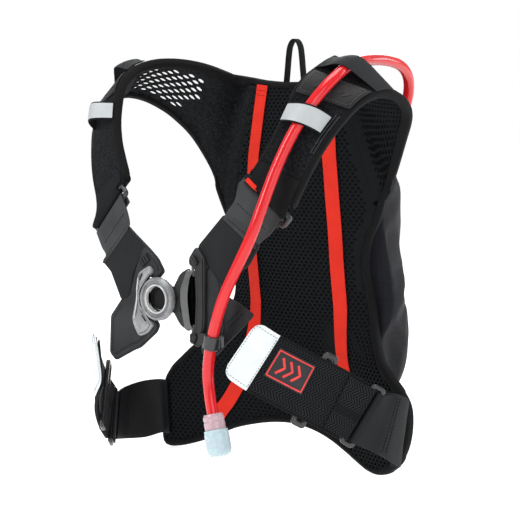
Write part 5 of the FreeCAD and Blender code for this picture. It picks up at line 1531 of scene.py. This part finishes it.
# left wing: cut rubber-coated cloth with the ribbed webbing sewn to it
plate("wing_sheet_left", WING_L, YW + 0.2, 2.2, 0.5, MT["hypalon_dk"], corner=3.0, body="harness_left", stands=("chest_wing_left",), slot="coated_fabric")
plate("wing_web_left", [(60.0, 251.5), (100.2, 225.0), (88.2, 207.6), (62.5, 190.8), (54.5, 190.0), (40.4, 205.0), (31.0, 214.0), (29.8, 221.5), (33.0, 225.5)], YW - 0.9, 1.3, 0.35, MT["webbing"],
      corner=1.5, rot=57, body="harness_left", slot="webbing")
plate("wing_layer_left", [(36.0, 205.5), (47.5, 205.5), (56.6, 193.0), (58.5, 186.5), (58.0, 172.5), (60.5, 150.0), (57.0, 134.5), (49.6, 124.0), (33.8, 124.0), (33.8, 146)],
      YW - 0.8, 1.2, 0.4, MT["hypalon"], corner=4.0, body="harness_left", slot="coated_fabric")
ridge("wing_welt_left", [(45.5, 203.0), (53.5, 192.0), (55.0, 186.0), (54.6, 172.0), (56.5, 151.0), (53.5, 137.0)], YW - 0.9, 1.5, 0.9, MT["hypalon_dk"], body="harness_left", slot="coated_fabric")
stitches("wing_stitch_left", [(flat_line([(57.2, 191.0), (60.2, 180.0), (60.0, 176.5), (66.0, 173.5)], YW - 0.35), (0, -1, 0)),
                              (flat_line([(64.0, 189.5), (87.6, 205.0)], YW - 1.2), (0, -1, 0)),
                              (flat_line([(62.0, 152.0), (79.5, 167.0)], YW - 0.1), (0, -1, 0)),
                              (flat_line([(65.5, 149.5), (84.0, 164.5)], YW - 0.1), (0, -1, 0))], MT["thread"], pitch=3.0, length=1.9, r=0.3, body="harness_left", slot="coated_fabric")

# right wing: ribbed webbing above, rubber-coated cloth below, with a welt round its edge
plate("wing_sheet_right", WING_R2, YW + 0.2, 2.2, 0.5, MT["hypalon_dk"], corner=3.0, body="harness_right", stands=("chest_wing_right",), slot="coated_fabric")
plate("wing_web_right", [(-93.2, 201.2), (-61.0, 235.2), (-53.2, 229.0), (-36.5, 216.6), (-44.0, 207.0), (-52.5, 193.0), (-58.5, 168.5), (-69.2, 166.8), (-82.2, 192.0)], YW - 0.7, 1.1, 0.35, MT["webbing"],
      corner=1.5, rot=-50, body="harness_right", slot="webbing")
plate("wing_layer_right", [(-37.6, 218.6), (-31.5, 214.5), (-21.8, 206.5), (-15.0, 196.4), (-21.5, 190.5), (-40.5, 191.0), (-42.5, 152), (-27.0, 151.0), (-21.4, 145.0), (-25.0, 139.0),
                           (-46.0, 123.2), (-54.2, 120.2), (-76.6, 109.0), (-83.6, 115.0), (-82.0, 149.2), (-70.0, 164.0), (-57.0, 170.0), (-51.0, 190.0), (-44.5, 208.0)],
      YW - 1.2, 1.6, 0.4, MT["hypalon"], corner=3.5, body="harness_right", slot="coated_fabric")
ridge("wing_welt_right", [(-27.0, 207.6), (-21.0, 200.5), (-19.5, 196.0)], YW - 1.4, 1.4, 0.8, MT["hypalon_dk"], body="harness_right", slot="coated_fabric")
ridge("wing_welt_right_low", [(-26.5, 144.6), (-29.0, 140.5), (-47.0, 127.6), (-56.0, 124.2), (-76.0, 113.6)], YW - 1.4, 1.4, 0.8, MT["hypalon_dk"], body="harness_right", slot="coated_fabric")
stitches("wing_stitch_right", [(flat_line([(-54.0, 182.0), (-48.0, 200.0), (-40.5, 213.0)], YW - 1.3), (0, -1, 0)),
                               (flat_line([(-33.5, 212.8), (-24.4, 205.2), (-18.0, 196.6)], YW - 1.3), (0, -1, 0)),
                               (flat_line([(-79.8, 116.0), (-78.8, 148.0), (-68.0, 161.0)], YW - 1.3), (0, -1, 0))], MT["thread"], pitch=3.0, length=1.9, r=0.26, body="harness_right", slot="coated_fabric")
# ladder slots that take the buckle's lugs
for side, cx, cz, rot in ((-1, -36.5, 205.5, 38), (1, 36.5, 205.5, -52), (-1, -46.5, 134.0, -52), (1, 38.0, 136.5, 55)):
    sn = SIDE[side]
    a = math.radians(rot)
    xd, zd = np.array([math.cos(a), 0, math.sin(a)]), np.array([-math.sin(a), 0, math.cos(a)])
    yy = YW - (1.55 if side < 0 else 1.4) if cz > 170 else YW - 1.5
    c = np.array([cx, yy, cz])
    if side < 0 and cz > 170 or side > 0 and cz > 170:
        box("lug_seat_%s_%d" % (sn, cz), c, (12.5, 8.0, 1.1), MT["rubber"], xdir=xd, ydir=zd, r=0.5, body="harness_" + sn, slot="coated_fabric")
        for k in range(3):
            box("lug_rung_%s_%d_%d" % (sn, cz, k), c + xd * (k - 1) * 3.4 + np.array([0, -0.8, 0]), (6.6, 1.5, 1.0), MT["base"], xdir=zd, ydir=xd, r=0.4, body="harness_" + sn, slot="black_plastic")

# ============================================================ buckle
BRACKET = [(-29.5, 201.1), (-43.9, 193.3), (-46.1, 170.5), (-52.1, 148.2), (-43.1, 132.7), (-32.0, 137.2), (-24.5, 145.2),
           (-35.5, 156.5), (-41.6, 164.0), (-41.6, 177.0), (-35.5, 184.5), (-25.0, 195.8)]
plate("bracket_body", BRACKET, -182.6, 4.0, 1.1, MT["clear"], corner=[2.5, 5, 8, 6, 5, 3, 2.5, 5, 4, 4, 5, 2.5], lip=(0.9, 0.5), body="harness_right", stands=("buckle_bracket",), slot="clear_plastic")
plate("bracket_arm_top", [(-28.4, 199.0), (-35.6, 195.0), (-39.6, 187.0), (-35.6, 185.6), (-26.4, 195.6)], -183.6, 1.6, 0.5, MT["clear"], corner=1.5, body="harness_right", slot="clear_plastic")
plate("bracket_arm_low", [(-48.6, 147.8), (-42.4, 136.2), (-33.4, 139.6), (-27.6, 145.4), (-36.6, 154.6), (-42.4, 159.4)], -183.6, 1.6, 0.5, MT["clear"], corner=2.5, body="harness_right", slot="clear_plastic")
# the bracket's spine in the near-white rim colour: a painted highlight
ridge("bracket_spine", [(-42.4, 188.5), (-43.9, 178.0), (-44.2, 168.0), (-48.0, 150.5)], -183.2, 1.3, 1.0, MT["rim"], body="harness_right", slot="clear_plastic")
for k, (x, z, rot) in enumerate(((-38.2, 190.0, 62), (-34.6, 151.4, -47))):
    a = math.radians(rot)
    box("bracket_slot_%d" % k, (x, -184.0, z), (7.5, 1.8, 0.9), MT["black"], xdir=(math.cos(a), 0, math.sin(a)), ydir=(0, 1, 0), r=0.4, body="harness_right", slot="clear_plastic")
RZ, RX_, RY_ = np.array([0, -1.0, 0]), np.array([1.0, 0, 0]), np.array([0, 0, 1.0])
ringc = np.array([RC[0], -179.0, RC[1]])
lathe("ring_outer", rounded([(13.2, 0.0), (19.8, 0.0), (20.4, 1.2), (20.4, 4.4), (19.4, 6.4), (18.2, 7.0), (17.3, 6.4), (16.8, 4.6), (14.8, 4.2), (14.2, 5.4), (13.2, 5.4)], 0.5), MT["clear"],
      org=ringc, ax=RZ, ux=RX_, uy=RY_, n=72, body="harness_right", stands=("buckle_ring",), slot="clear_plastic", sharp=50)
# the ring's inner edge in the near-white rim colour: a painted highlight
lathe("ring_bezel", rounded([(11.7, 1.2), (13.2, 1.2), (13.9, 4.8), (13.7, 6.3), (12.9, 6.7), (12.1, 6.0)], 0.4), MT["rim"], org=ringc, ax=RZ, ux=RX_, uy=RY_, n=72, body="harness_right", slot="clear_plastic", sharp=60)

PLATE = [(17.5, 201.5), (6.0, 195.5), (-2.0, 182.5), (-6, 181.0), (-6.0, 160.0), (-2.0, 158.5), (6.0, 147.5), (17.5, 141.5)]
tongc = np.array([RC[0], -172.4, RC[1]])
lathe("latch_disc", rounded([(10.85, 0), (15.6, 0), (16.0, 1.0), (16.0, 5.2), (15.4, 6.0), (11.4, 6.0), (10.95, 5.6), (10.85, 1.6)], 0.3), MT["black"],
      org=tongc, ax=RZ, ux=RX_, uy=RY_, n=64, body="tongue", stands=("tongue_plate",), slot="black_plastic", sharp=50)
plate("tongue_sheet", PLATE, -178.4, 3.0, 0.7, MT["base"], corner=4.0, lip=(1.2, 0.35), body="tongue", slot="grey_plastic")
plate("tongue_neck", [(-3.0, 183.5), (-8.0, 181.5), (-9.5, 177.0), (-9.5, 164.0), (-8.0, 159.5), (-3.0, 157.5), (1.0, 162), (1.0, 179)], -178.7, 3.0, 0.7, MT["base"], corner=3.0, body="tongue", slot="grey_plastic")
plate("tongue_flap", [(15.0, 199.0), (25.0, 199.0), (26.2, 172.0), (25.0, 145.0), (15.0, 145.0)], -178.6, 1.6, 0.4, MT["rubber"], corner=2.0, body="tongue", slot="black_plastic")
for k, (x, z, w) in enumerate(((4.0, 173.2, 5.0), (4.0, 170.4, 5.0), (5.2, 163.4, 1.5))):
    box("tongue_mark_%d" % k, (x, -178.75, z), (w, 1.1, 0.7), MT["black"], xdir=(1, 0, 0), ydir=(0, 0, 1), r=0.3, body="tongue", slot="grey_plastic")
ridge("tongue_mark_bar", [(6.4, 169.0), (6.9, 160.0)], -178.75, 1.2, 0.7, MT["black"], body="tongue", slot="grey_plastic")
lathe("button_cap", rounded([(0.02, 0.0), (10.2, 0.0), (10.45, 0.6), (10.45, 2.0), (9.9, 2.6), (6.0, 2.75), (0.02, 2.8)], 0.3), MT["disc"], org=np.array([RC[0], -175.8, RC[1]]), ax=RZ, ux=RX_, uy=RY_, n=56,
      body="button", stands=("release_button",), slot="black_plastic", sharp=50)
VBOW = [(17.4, 199.1), (9.5, 181.5), (9.2, 169.5), (15.0, 144.6), (26.2, 144.6), (26.2, 149.0), (22.6, 150.0), (19.6, 170.2), (19.6, 179.4),
        (22.4, 193.2), (26.2, 194.2), (26.2, 199.1)]
plate("bow_body", VBOW, -182.0, 3.0, 0.8, MT["grey"], corner=[1.5, 4, 4, 1.5, 1, 1, 2.5, 5, 5, 2.5, 1, 1], body="tongue", stands=("tongue_bow",), slot="grey_plastic")
for k, (z0, z1) in enumerate(((198.0, 207.0), (136.5, 145.5))):
    P = np.array([(24.2, -180.5, z) for z in np.linspace(z0, z1, 6)])
    tube("bow_trunnion_%d" % k, P, 1.3, MT["grey"], n=16, ref=(1, 0, 0), body="tongue", slot="grey_plastic")
BASE = [(29.4, 222.1), (40.3, 210.8), (40.2, 187.0), (40.1, 148.5), (31.5, 128.3), (21.6, 134.0), (21.4, 141.0), (27.6, 143.8),
        (29.6, 172.5), (27.8, 201.6), (21.0, 204.5), (20.6, 210.5)]
plate("base_body", BASE, -182.6, 4.0, 1.0, MT["base"], corner=[4, 4, 6, 6, 4, 3, 2, 3, 6, 3, 2, 3], lip=(0.8, 0.4), body="harness_left", stands=("tongue_base",), slot="black_plastic")
ridge("base_welt", [(36.6, 211.5), (37.6, 204.0), (37.6, 187.0), (37.4, 150.0), (32.4, 136.0)], -183.0, 1.6, 1.0, MT["base"], body="harness_left", slot="black_plastic")
for k, (x, z, rot) in enumerate(((28.6, 209.0, -48), (27.6, 137.0, 52))):
    a = math.radians(rot)
    xd = np.array([math.cos(a), 0, math.sin(a)])
    box("base_lug_%d" % k, (x, -183.6, z), (9.0, 5.2, 2.4), MT["black"], xdir=xd, ydir=(-xd[2], 0, xd[0]), r=0.9, body="harness_left", slot="black_plastic")
    for j in (-1, 1):
        box("base_lug_rib_%d_%d" % (k, j), np.array([x, -184.9, z]) + xd * j * 1.9, (4.4, 1.1, 0.9), MT["base"], xdir=(-xd[2], 0, xd[0]), ydir=xd, r=0.35, body="harness_left", slot="black_plastic")

# hose clip on the tail of the left wing
CD = unit(np.array([-8.0, 1.0, -27.5]))
CLP = np.array([59.0, -194.0, 137.75]) - CD * 6.5
CX_ = unit(np.array([1.0, 0, 0]) - CD * CD[0])
CY_ = np.cross(CD, CX_)
lathe("clip_ring", rounded([(5.56, 0.3), (7.2, 0.0), (7.55, 0.8), (7.55, 12.2), (7.2, 13.0), (5.56, 12.7)], 0.4), MT["gloss"], org=CLP, ax=CD, ux=CX_, uy=CY_, n=40,
      body="harness_left", stands=("hose_clip",), slot="black_plastic", sharp=50)
CX1, CY1, CZ1 = np.array([1.0, 0, 0]), np.array([0, 1.0, 0]), np.array([0, 0, 1.0])
CM = CLP + CD * 6.5
for nm, x0, x1, m_, hh in (("mid", -17.5, 4.5, "gloss", 12.0), ("tip", -24.0, -17.0, "label", 11.4)):
    box("clip_foot_" + nm, CM + CX1 * (x0 + x1) / 2 + CY1 * 9.4, (x1 - x0, hh, 2.8), MT[m_], xdir=CX1, ydir=CZ1, r=1.0, body="harness_left", slot="black_plastic")
box("clip_neck", CM + CY1 * 7.4, (12.2, 10.0, 2.6), MT["gloss"], xdir=CZ1, ydir=CX1, r=0.9, body="harness_left", slot="black_plastic")
for j in (-1, 1):
    box("clip_jaw_%d" % (j + 2), CM + CX1 * j * 7.3 + CY1 * 4.2, (12.0, 2.4, 6.6), MT["gloss"], xdir=CZ1, ydir=CX1, r=0.8, body="harness_left", slot="black_plastic")


# ============================================================ waist straps
WS = {1: [(85, -189, 136.5), (104, -176.5, 121.5), (124, -154, 104.5), (141, -128, 88), (154.5, -103.0, 71.5)],
      -1: [(-86, -189, 114.0), (-105, -176.5, 96.0), (-126, -154, 76), (-144, -128, 55), (-158.0, -103.0, 37.5)]}
RINGS = {}
WL = {1: ((166.5, -86, 93.5), (147.5, -110, 44.0)), -1: ((-169.5, -86, 58.0), (-151.5, -110, 9.5))}
for side in (1, -1):
    sn = SIDE[side]
    C = np.array(WS[side], float)
    top, bot = [], []
    for i in range(len(C)):
        r = unit(C[min(len(C) - 1, i + 1)] - C[max(0, i - 1)])
        up = unit(np.array([0, 0, 1.0]) - r * r[2])
        top.append(C[i] + up * 29.0)
        bot.append(C[i] - up * 29.0)
    W = Rib(top, bot, flip=float(side))
    if np.array([side * 0.7, -0.7, 0]) @ (W.at(2.0, 0.5, 5.0) - W.at(2.0, 0.5, 0.0)) < 0:
        W.flip = -W.flip
    hb = "harness_" + sn
    W.body("waist_mesh_" + sn, 0.62, 3.86, lambda w: rect_prof(w, 2.8, 1.0, nc=3, nw=3, crown=0.25), MT["chevron"], step=2.5, body=hb, stands=("waist_strap_" + sn,), slot="strap_mesh")
    # woven edges
    for tag, u in (("top", 0.022), ("low", 0.978)):
        S_, L_ = W.arc(0.62, 3.86, 3.0, u)
        Ce = W.at(S_, np.full(len(S_), u), 0)
        Ue = unit(W.at(S_, np.full(len(S_), 1 - u), 0) - Ce)
        sweep("waist_edge_%s_%s" % (tag, sn), Ce, Ue, W.normal(S_, np.full(len(S_), u)), rect_prof(2.8, 3.3, 1.2, nc=3), MT["binding"], body=hb, slot="strap_mesh")
    # white reflective tab, rounded at its free end
    S_, L_ = W.arc(0.10, 1.02, 1.5, 0.5)
    rows = []
    for k, s in enumerate(S_):
        d = k * L_ / (len(S_) - 1)
        cut = 10.0 - math.sqrt(max(0.0, 100.0 - (10.0 - d) ** 2)) if d < 10 else 0.0
        w = float(W.width(s)[0])
        p = rect_prof(w - 2 * cut, 1.3, 0.5, nc=3, nw=3, crown=0.25, n0=1.5 + 0.3 + 0.75)
        rows.append(W.at(np.full(len(p), s), p[:, 0] / w + 0.5, p[:, 1]))
    # the tab's film is the copy lightened as painted light
    rows_mesh("white_tab_" + sn, np.array(rows), MT["tabfilm"], body=hb, stands=("waist_tab_" + sn,), slot="reflective")
    edge = []
    for s in np.linspace(1.0, 0.26, 24):
        edge.append((s, 0.06))
    for a in np.linspace(0, 90, 7)[1:]:
        edge.append((0.26 - 0.105 * math.sin(math.radians(a)), 0.06 + 0.11 * (1 - math.cos(math.radians(a)))))
    edge += [(0.155, u) for u in np.linspace(0.2, 0.8, 20)]
    for a in np.linspace(90, 0, 7)[:-1]:
        edge.append((0.26 - 0.105 * math.sin(math.radians(a)), 0.94 - 0.11 * (1 - math.cos(math.radians(a)))))
    edge += [(s, 0.94) for s in np.linspace(0.26, 1.0, 24)]
    edge += [(0.985, u) for u in np.linspace(0.92, 0.08, 26)]
    E = np.array(edge)
    nn = W.normal(E[:, 0], E[:, 1])
    stitches("tab_stitch_" + sn, [(W.at(E[:, 0], E[:, 1], 3.32), nn)], MT["thread_grey"], pitch=2.9, length=1.9, r=0.24, body=hb, slot="reflective")
    # inner elastic
    W.body("waist_elastic_band_" + sn, 0.62, 2.35, lambda w: rect_prof(w, 1.9, 0.8, nc=2, nw=2, crown=0.1, n0=-3.1), MT["satin"], step=4.0, u0=0.06, u1=0.94, body=hb, stands=("waist_elastic_" + sn,), slot="webbing")
    # slider under the strap and the loop at its end
    p_t, p_b = W.at(2.62, -0.045, -1.5 - 3.6), W.at(2.62, 1.045, -1.5 - 3.6)
    run = W.at(2.9, 0.5, 0) - W.at(2.3, 0.5, 0)
    loop_frame("slider_ring_" + sn, (p_t + p_b) * 0.5, p_b - p_t, run, 73, 62, body=hb, stands=("waist_slider_" + sn,), slot="black_plastic")
    pt, pb = (np.array(q, float) for q in WL[side])
    loop_frame("waist_ring_" + sn, (pt + pb) / 2, pt - pb, (-0.54 * side, -0.67, 0.5), 62, 54, body=hb, stands=("waist_loop_" + sn,), slot="black_plastic")
    ring = ring_axes(pb, pt, np.array((-0.54 * side, -0.67, 0.5)), (0.8 * side, -0.6, 0))
    RINGS[side] = ring
    ng = 1.0 if (W.at(3.0, 0.5, 1.0) - W.at(3.0, 0.5, 0.0)) @ ring[3] > 0 else -1.0
    tail = [(W.at(3.55, 0.95, 2.3 * ng), W.at(3.55, 0.05, 2.3 * ng)), (W.at(3.25, 0.96, 2.3 * ng), W.at(3.25, 0.04, 2.3 * ng))]
    # dark strip behind the loop's slot: painted shade in the gap between the wraps, also standing for the webbing's
    # under layer
    box("waist_slot_shade_" + sn, ring[0] - ring[3] * 3.5, (50.0, 12.0, 0.9), MT["webdark"], xdir=ring[1], ydir=ring[2], r=0.4, body=hb, slot="webbing")
    turn("waist_turn_" + sn, ring, 1.0, tail, (26.4, 26.4), MT["chevron"], back=11.0, body=hb, slot="webbing")
    if side == 1:
        LBL = W
        W.body("label_plate", 1.20, 2.28, lambda w: rect_prof(w, 0.95, 0.35, nc=2, nw=2, crown=0.1, n0=1.5 + 0.25 + 0.5), MT["label"], step=2.5, u0=0.16, u1=0.66, body=hb, stands=("waist_label",), slot="label")

        def lab(path, name, w=1.5, closed=False):
            P = np.array(path, float)
            if closed:
                P = np.vstack([P, P[:1]])
            n = [max(2, int(np.hypot((b[0] - a[0]) * 27, (b[1] - a[1]) * 58) / 1.2)) for a, b in zip(P, P[1:])]
            q = np.vstack([np.linspace(a, b, k, endpoint=False) for a, b, k in zip(P, P[1:], n)] + [P[-1:]])
            X = W.at(q[:, 0], q[:, 1], 2.78)
            N_ = W.normal(q[:, 0], q[:, 1])
            if closed:
                X, N_ = X[:-1], N_[:-1]
            T = tangents(X, closed)
            pr = rect_prof(w, 0.75, 0.3, nc=2)
            return X[:, None] + unit(np.cross(T, N_))[:, None] * pr[None, :, 0:1] + N_[:, None] * pr[None, :, 1:2]
        fr = lab([(1.245, 0.195), (2.235, 0.195), (2.235, 0.625), (1.245, 0.625)], "frame", 1.4, True)
        rows_mesh("label_frame", fr, MT["label_red"], closed=True, body=hb, slot="label")
        parts = []
        for k in range(3):
            s0 = 1.42 + 0.22 * k
            r_ = lab([(s0, 0.545), (s0 + 0.16, 0.41), (s0, 0.275)], "chevron", 2.3)
            parts.append((r_.reshape(-1, 3), sweep_rows(r_), None))
        join_meshes("label_chevrons", parts, MT["label_red"], body=hb, slot="label")

# webbing from the panel's wings to the waist loops
WEB = {1: [((165, -86, 91), (150, -106, 43)), ((171, -64, 88), (161, -78, 28)), ((168.5, -44, 81), (157, -50, 15)), ((159, -31.5, 73), (150, -31, 8)), ((148, -29.9, 73), (139, -29.8, 8))],
       -1: [((-167, -86, 58), (-153, -106, 10)), ((-171, -64, 62), (-165, -78, 5)), ((-168, -44, 65), (-161, -50, 3)), ((-159, -31.5, 66), (-155, -31.3, 6)), ((-148, -30.2, 66), (-144, -30.2, 6))]}
for side in (1, -1):
    sn = SIDE[side]
    B = Rib([p[0] for p in WEB[side]], [p[1] for p in WEB[side]])
    if np.array([side * 1.0, 0, 0]) @ (B.at(1.0, 0.5, 5.0) - B.at(1.0, 0.5, 0.0)) < 0:
        B.flip = -B.flip
    sw = ("pack", "harness_" + sn, (0.135 * side, -0.024, -0.15), (0.135 * side, -0.084, -0.15))

    def web_prof(w, t=0):
        return rect_prof(w, 2.0, 0.8, nc=3, nw=5, crown=0.12)
    B.body("wing_web_strap_" + sn, 0.34, 4.0, web_prof, MT["satin"] if side < 0 else MT["webbing"], step=2.5, u0=0.03, u1=0.97, stands=("wing_webbing_" + sn, "waist_webbing_" + sn), slot="webbing", blend=sw)
    lines = []
    for s in (0.98, 1.14):
        uu = np.linspace(0.07, 0.93, 40)
        lines.append((B.at(np.full(40, s), uu, 2.9), B.normal(np.full(40, s), uu)))
        lines.append((B.at(np.full(40, s), uu, -1.15), -B.normal(np.full(40, s), uu)))
    for s in (3.45,):
        uu = np.linspace(0.07, 0.93, 40)
        lines.append((B.at(np.full(40, s), uu, -1.15), -B.normal(np.full(40, s), uu)))
    stitches("wing_web_stitch_" + sn, lines, MT["thread"], pitch=3.1, length=2.0, r=0.3, slot="webbing", blend=sw)
    # the doubled end, laid round the loop's bar and sewn down on itself
    ring = RINGS[side]
    tail = [(B.at(0.62, 0.95, 2.0), B.at(0.62, 0.05, 2.0)), (B.at(0.9, 0.96, 2.0), B.at(0.9, 0.04, 2.0)), (B.at(1.22, 0.96, 1.9), B.at(1.22, 0.04, 1.9))]
    turn("wing_web_fold_" + sn, ring, -1.0, tail, (25.8, 25.8), MT["satin"] if side < 0 else MT["webbing"], back=10.0, r=2.9, slot="webbing", blend=sw)

# ============================================================ back of the pack: port, zip
portc = PX - PD * 9.0
ux = unit(np.array([1.0, 0, 0]) - PD * PD[0])
lathe("port_sleeve", rounded([(5.6, -16.0), (7.0, -16.0), (8.4, -1.0), (9.0, 1.0), (9.0, 12.0), (8.2, 14.0), (8.8, 15.5), (8.0, 17.0), (8.5, 18.5), (7.6, 20.5), (7.9, 22.5), (7.0, 24.0), (5.6, 24.0)], 0.5), MT["rubber"],
      org=portc, ax=PD, ux=ux, uy=np.cross(PD, ux), n=40, body="pack", stands=("hose_port",), slot="rubber", sharp=50)

ZZ = 262.0
for k, (dz, sg) in enumerate(((2.3, 1), (-2.3, -1))):
    xs = np.linspace(-74, 74, 50)
    C = np.stack([xs, zip_y(xs), np.full(50, ZZ + dz)], -1)
    sweep("zip_tape_%d" % k, C, np.array([0, 0, 1.0]), np.array([0, 1.0, 0]), rect_prof(3.6, 1.2, 0.4, nc=2, nw=1), MT["webdark"], body="pack", stands=("zipper_tape",) if k == 0 else (), slot="webbing")
parts = []
for k in range(98):
    x = -73.5 + 1.5 * k
    for sg in (1, -1):
        c = np.array([x + (0.37 if sg > 0 else -0.37), float(zip_y(x)) + 0.4, ZZ + 0.75 * sg])
        p = rect_prof(1.0, 1.1, 0.4, nc=2)
        rr_ = np.array([c + np.array([0, 0, 1.0]) * t * 1.5 + np.array([1.0, 0, 0]) * p[:, 0:1] + np.array([0, 1.0, 0]) * p[:, 1:2] for t in (-0.5, 0.5)])
        parts.append((rr_.reshape(-1, 3), sweep_rows(rr_), None))
join_meshes("zip_teeth", parts, MT["black"], body="pack", slot="black_plastic")
stitches("zip_stitch", [(np.stack([np.linspace(-72, 72, 60), zip_y(np.linspace(-72, 72, 60)) + 0.7, np.full(60, ZZ + dz)], -1), (0, 1, 0)) for dz in (3.4, -3.4)], MT["thread"], pitch=3.0, length=2.0, r=0.26, body="pack", slot="webbing")
SC = np.array([-38.0, 76.35, ZZ])
box("zip_slider_body", SC + np.array([0, 1.5, 0]), (12.0, 8.0, 3.0), MT["grey"], xdir=(1, 0, 0), ydir=(0, 0, 1), r=1.2, body="zip_slider", stands=("zipper_slider",), slot="grey_plastic")
for x in (-42.0, -34.0):
    box("zip_slider_lug_%d" % int(-x), (x, 80.4, ZZ + 1.0), (3.6, 4.2, 1.2), MT["grey"], xdir=(0, 0, 1), ydir=(0, 1, 0), r=0.5, body="zip_slider", slot="grey_plastic")
tube("zip_slider_pin", np.array([(x, 81.35, ZZ + 1.0) for x in np.linspace(-42, -34, 5)]), 0.68, MT["grey"], n=12, ref=(0, 0, 1), body="zip_slider", slot="grey_plastic")
PP = []
for z, w, t in ((263.0 + 1.5, 4.6, 2.2), (263.0 + 0.6, 6.0, 3.0), (262.4, 6.0, 3.0), (260.8, 5.8, 1.9), (256.0, 5.2, 1.6), (250.0, 5.0, 1.6), (244.0, 5.8, 1.6), (240.0, 6.0, 1.6), (238.4, 5.2, 1.4), (238.0, 3.4, 1.0)):
    p = rect_prof(w, t, t * 0.4, nc=3)
    PP.append(np.stack([-38.0 + p[:, 0], 81.35 + p[:, 1], np.full(len(p), z)], -1))
rows_mesh("zip_pull_tab", np.array(PP), MT["rubber"], body="zip_pull", stands=("zipper_pull",), slot="rubber")

# ============================================================ inside the pack
gx = np.linspace(-96, 96, 40)
gz = np.linspace(44, 358, 64)
XX, ZG = np.meshgrid(gx, gz, indexing="ij")
ins = dist_inside(SHD, XX, ZG).reshape(XX.shape)
FQ, idx, VQ = [], -np.ones(XX.shape, int), []
for i in range(XX.shape[0]):
    for j in range(XX.shape[1]):
        if ins[i, j] > 5.0:
            idx[i, j] = len(VQ)
            x, z = XX[i, j], ZG[i, j]
            VQ.append((x, float(yfront(x, z)) + 14.0 + 0.5 * noise.noise(Vector((x * 0.03, z * 0.03, 1.0))), z))
for i in range(XX.shape[0] - 1):
    for j in range(XX.shape[1] - 1):
        q = (idx[i, j], idx[i + 1, j], idx[i + 1, j + 1], idx[i, j + 1])
        if min(q) >= 0:
            FQ.append(q)
liner = make("liner_cloth", VQ, FQ, MT["liner"], uv=np.array(VQ)[:, [0, 2]])
liner.modifiers.new("wall", "SOLIDIFY").thickness = 0.0009
dg = bpy.context.evaluated_depsgraph_get()
me2 = bpy.data.meshes.new_from_object(liner.evaluated_get(dg))
liner.modifiers.clear()
liner.data = me2
place(liner, "pack", ("compartment_liner",))


def superellipse(w, h, r, n=48):
    P = ease([(-w / 2, -h / 2), (w / 2, -h / 2), (w / 2, h / 2), (-w / 2, h / 2)], r, n=8)
    return resample(P, count=n, closed=True)


BB = superellipse(130, 203, 30, 72)
rows = []
for t in np.linspace(-1, 1, 17):
    prof = (1 - abs(t) ** 2.4) ** 0.55 if abs(t) < 1 else 0.0
    k = 0.86 + 0.14 * prof if abs(t) < 0.999 else 0.84
    y = 29.0 + 11.6 * t * (1.0)
    Q = BB * np.array([k, k])
    dent = 1.0 + 0.015 * np.cos(3 * np.arctan2(Q[:, 1], Q[:, 0]))
    rows.append(np.stack([Q[:, 0] * dent, np.full(len(Q), y), 172 + Q[:, 1]], -1))
for k in (0.6, 0.35, 0.12):
    rows.append(np.stack([BB[:, 0] * k * 0.84 / 0.84, np.full(len(BB), 29.0 + 11.6 + 0.25), 172 + BB[:, 1] * k], -1))
rows = [np.stack([BB[:, 0] * k, np.full(len(BB), 29.0 - 11.6 - 0.25), 172 + BB[:, 1] * k], -1) for k in (0.12, 0.35, 0.6)] + rows
bladder = rows_mesh("bladder_pillow", np.array(rows), MT["film"], body="pack", stands=("reservoir_bladder",), slot="bladder_film", sharp=70)
box("closure_bar", (0, 29.0, 284.0), (140, 13.0, 9.6), MT["black"], xdir=(1, 0, 0), ydir=(0, 0, 1), r=2.4, body="pack", stands=("reservoir_closure_bar",), slot="black_plastic")
for x in (-45, 45):
    box("closure_rib_%d" % (x + 100), (x, 33.9, 284.0), (30.0, 3.0, 1.6), MT["gloss"], xdir=(1, 0, 0), ydir=(0, 0, 1), r=0.6, body="pack", slot="black_plastic")
sweep("hanger_tape", np.array([(0, 27.5, z) for z in np.linspace(291.4, 333.0, 14)]), np.array([1.0, 0, 0]), np.array([0, 1.0, 0]), rect_prof(22, 2.8, 1.0, nc=3, nw=2, crown=0.15), MT["webbing"],
      body="pack", stands=("reservoir_hanger",), slot="webbing")
FEED = nurbs_line("feeder_route", [(38.0, 54.0, 150.0), (38.0, 54.0, 180.0), (42.0, 53.0, 215.0), (51.0, 52.0, 250.0), (63.5, 51.2, 280.0), tuple(PX - PD * 27.0), tuple(PX + PD * 6.0)])
tube("feeder_tube", FEED, 5.2, MT["hose"], n=18, body="pack", stands=("feeder_hose",), slot="hose_red")
coup = lathe("coupling_shell", rounded([(0.02, -8), (3.6, -8), (3.6, -3), (7.7, -3), (7.7, 0), (9.5, 1.5), (9.5, 5.7), (9.5, 6.1), (9.5, 10), (9.1, 10.6), (9.1, 11.6), (9.5, 12.2), (9.5, 20.9), (9.5, 21.3), (9.5, 28), (7.5, 30), (7.5, 36), (5.0, 38), (5.0, 50), (0.02, 50)], 0.5), MT["base"],
      org=np.array([38.0, 54.0, 100.0]), ax=np.array([0, 0, 1.0]), ux=np.array([1.0, 0, 0]), uy=np.array([0, 1.0, 0]), n=40, body="pack", stands=("quick_coupling",), slot="grey_plastic", sharp=50)
# the pocket that the release key sinks into
for v in coup.data.vertices:
    cx, cy, cz = v.co.x * 1000.0, v.co.y * 1000.0, v.co.z * 1000.0 + 200.0
    if abs(cx - 38.0) < 5.0 and 106.0 <= cz <= 121.0 and cy > 59.9:
        v.co.y = 0.0599
coup.data.update()
box("key_button", (38.0, 54.0 + 9.5 - 0.4, 113.5), (14.0, 9.0, 3.0), MT["rubber"], xdir=(0, 0, 1), ydir=(1, 0, 0), r=1.1, body="key", stands=("coupling_key",), slot="black_plastic")
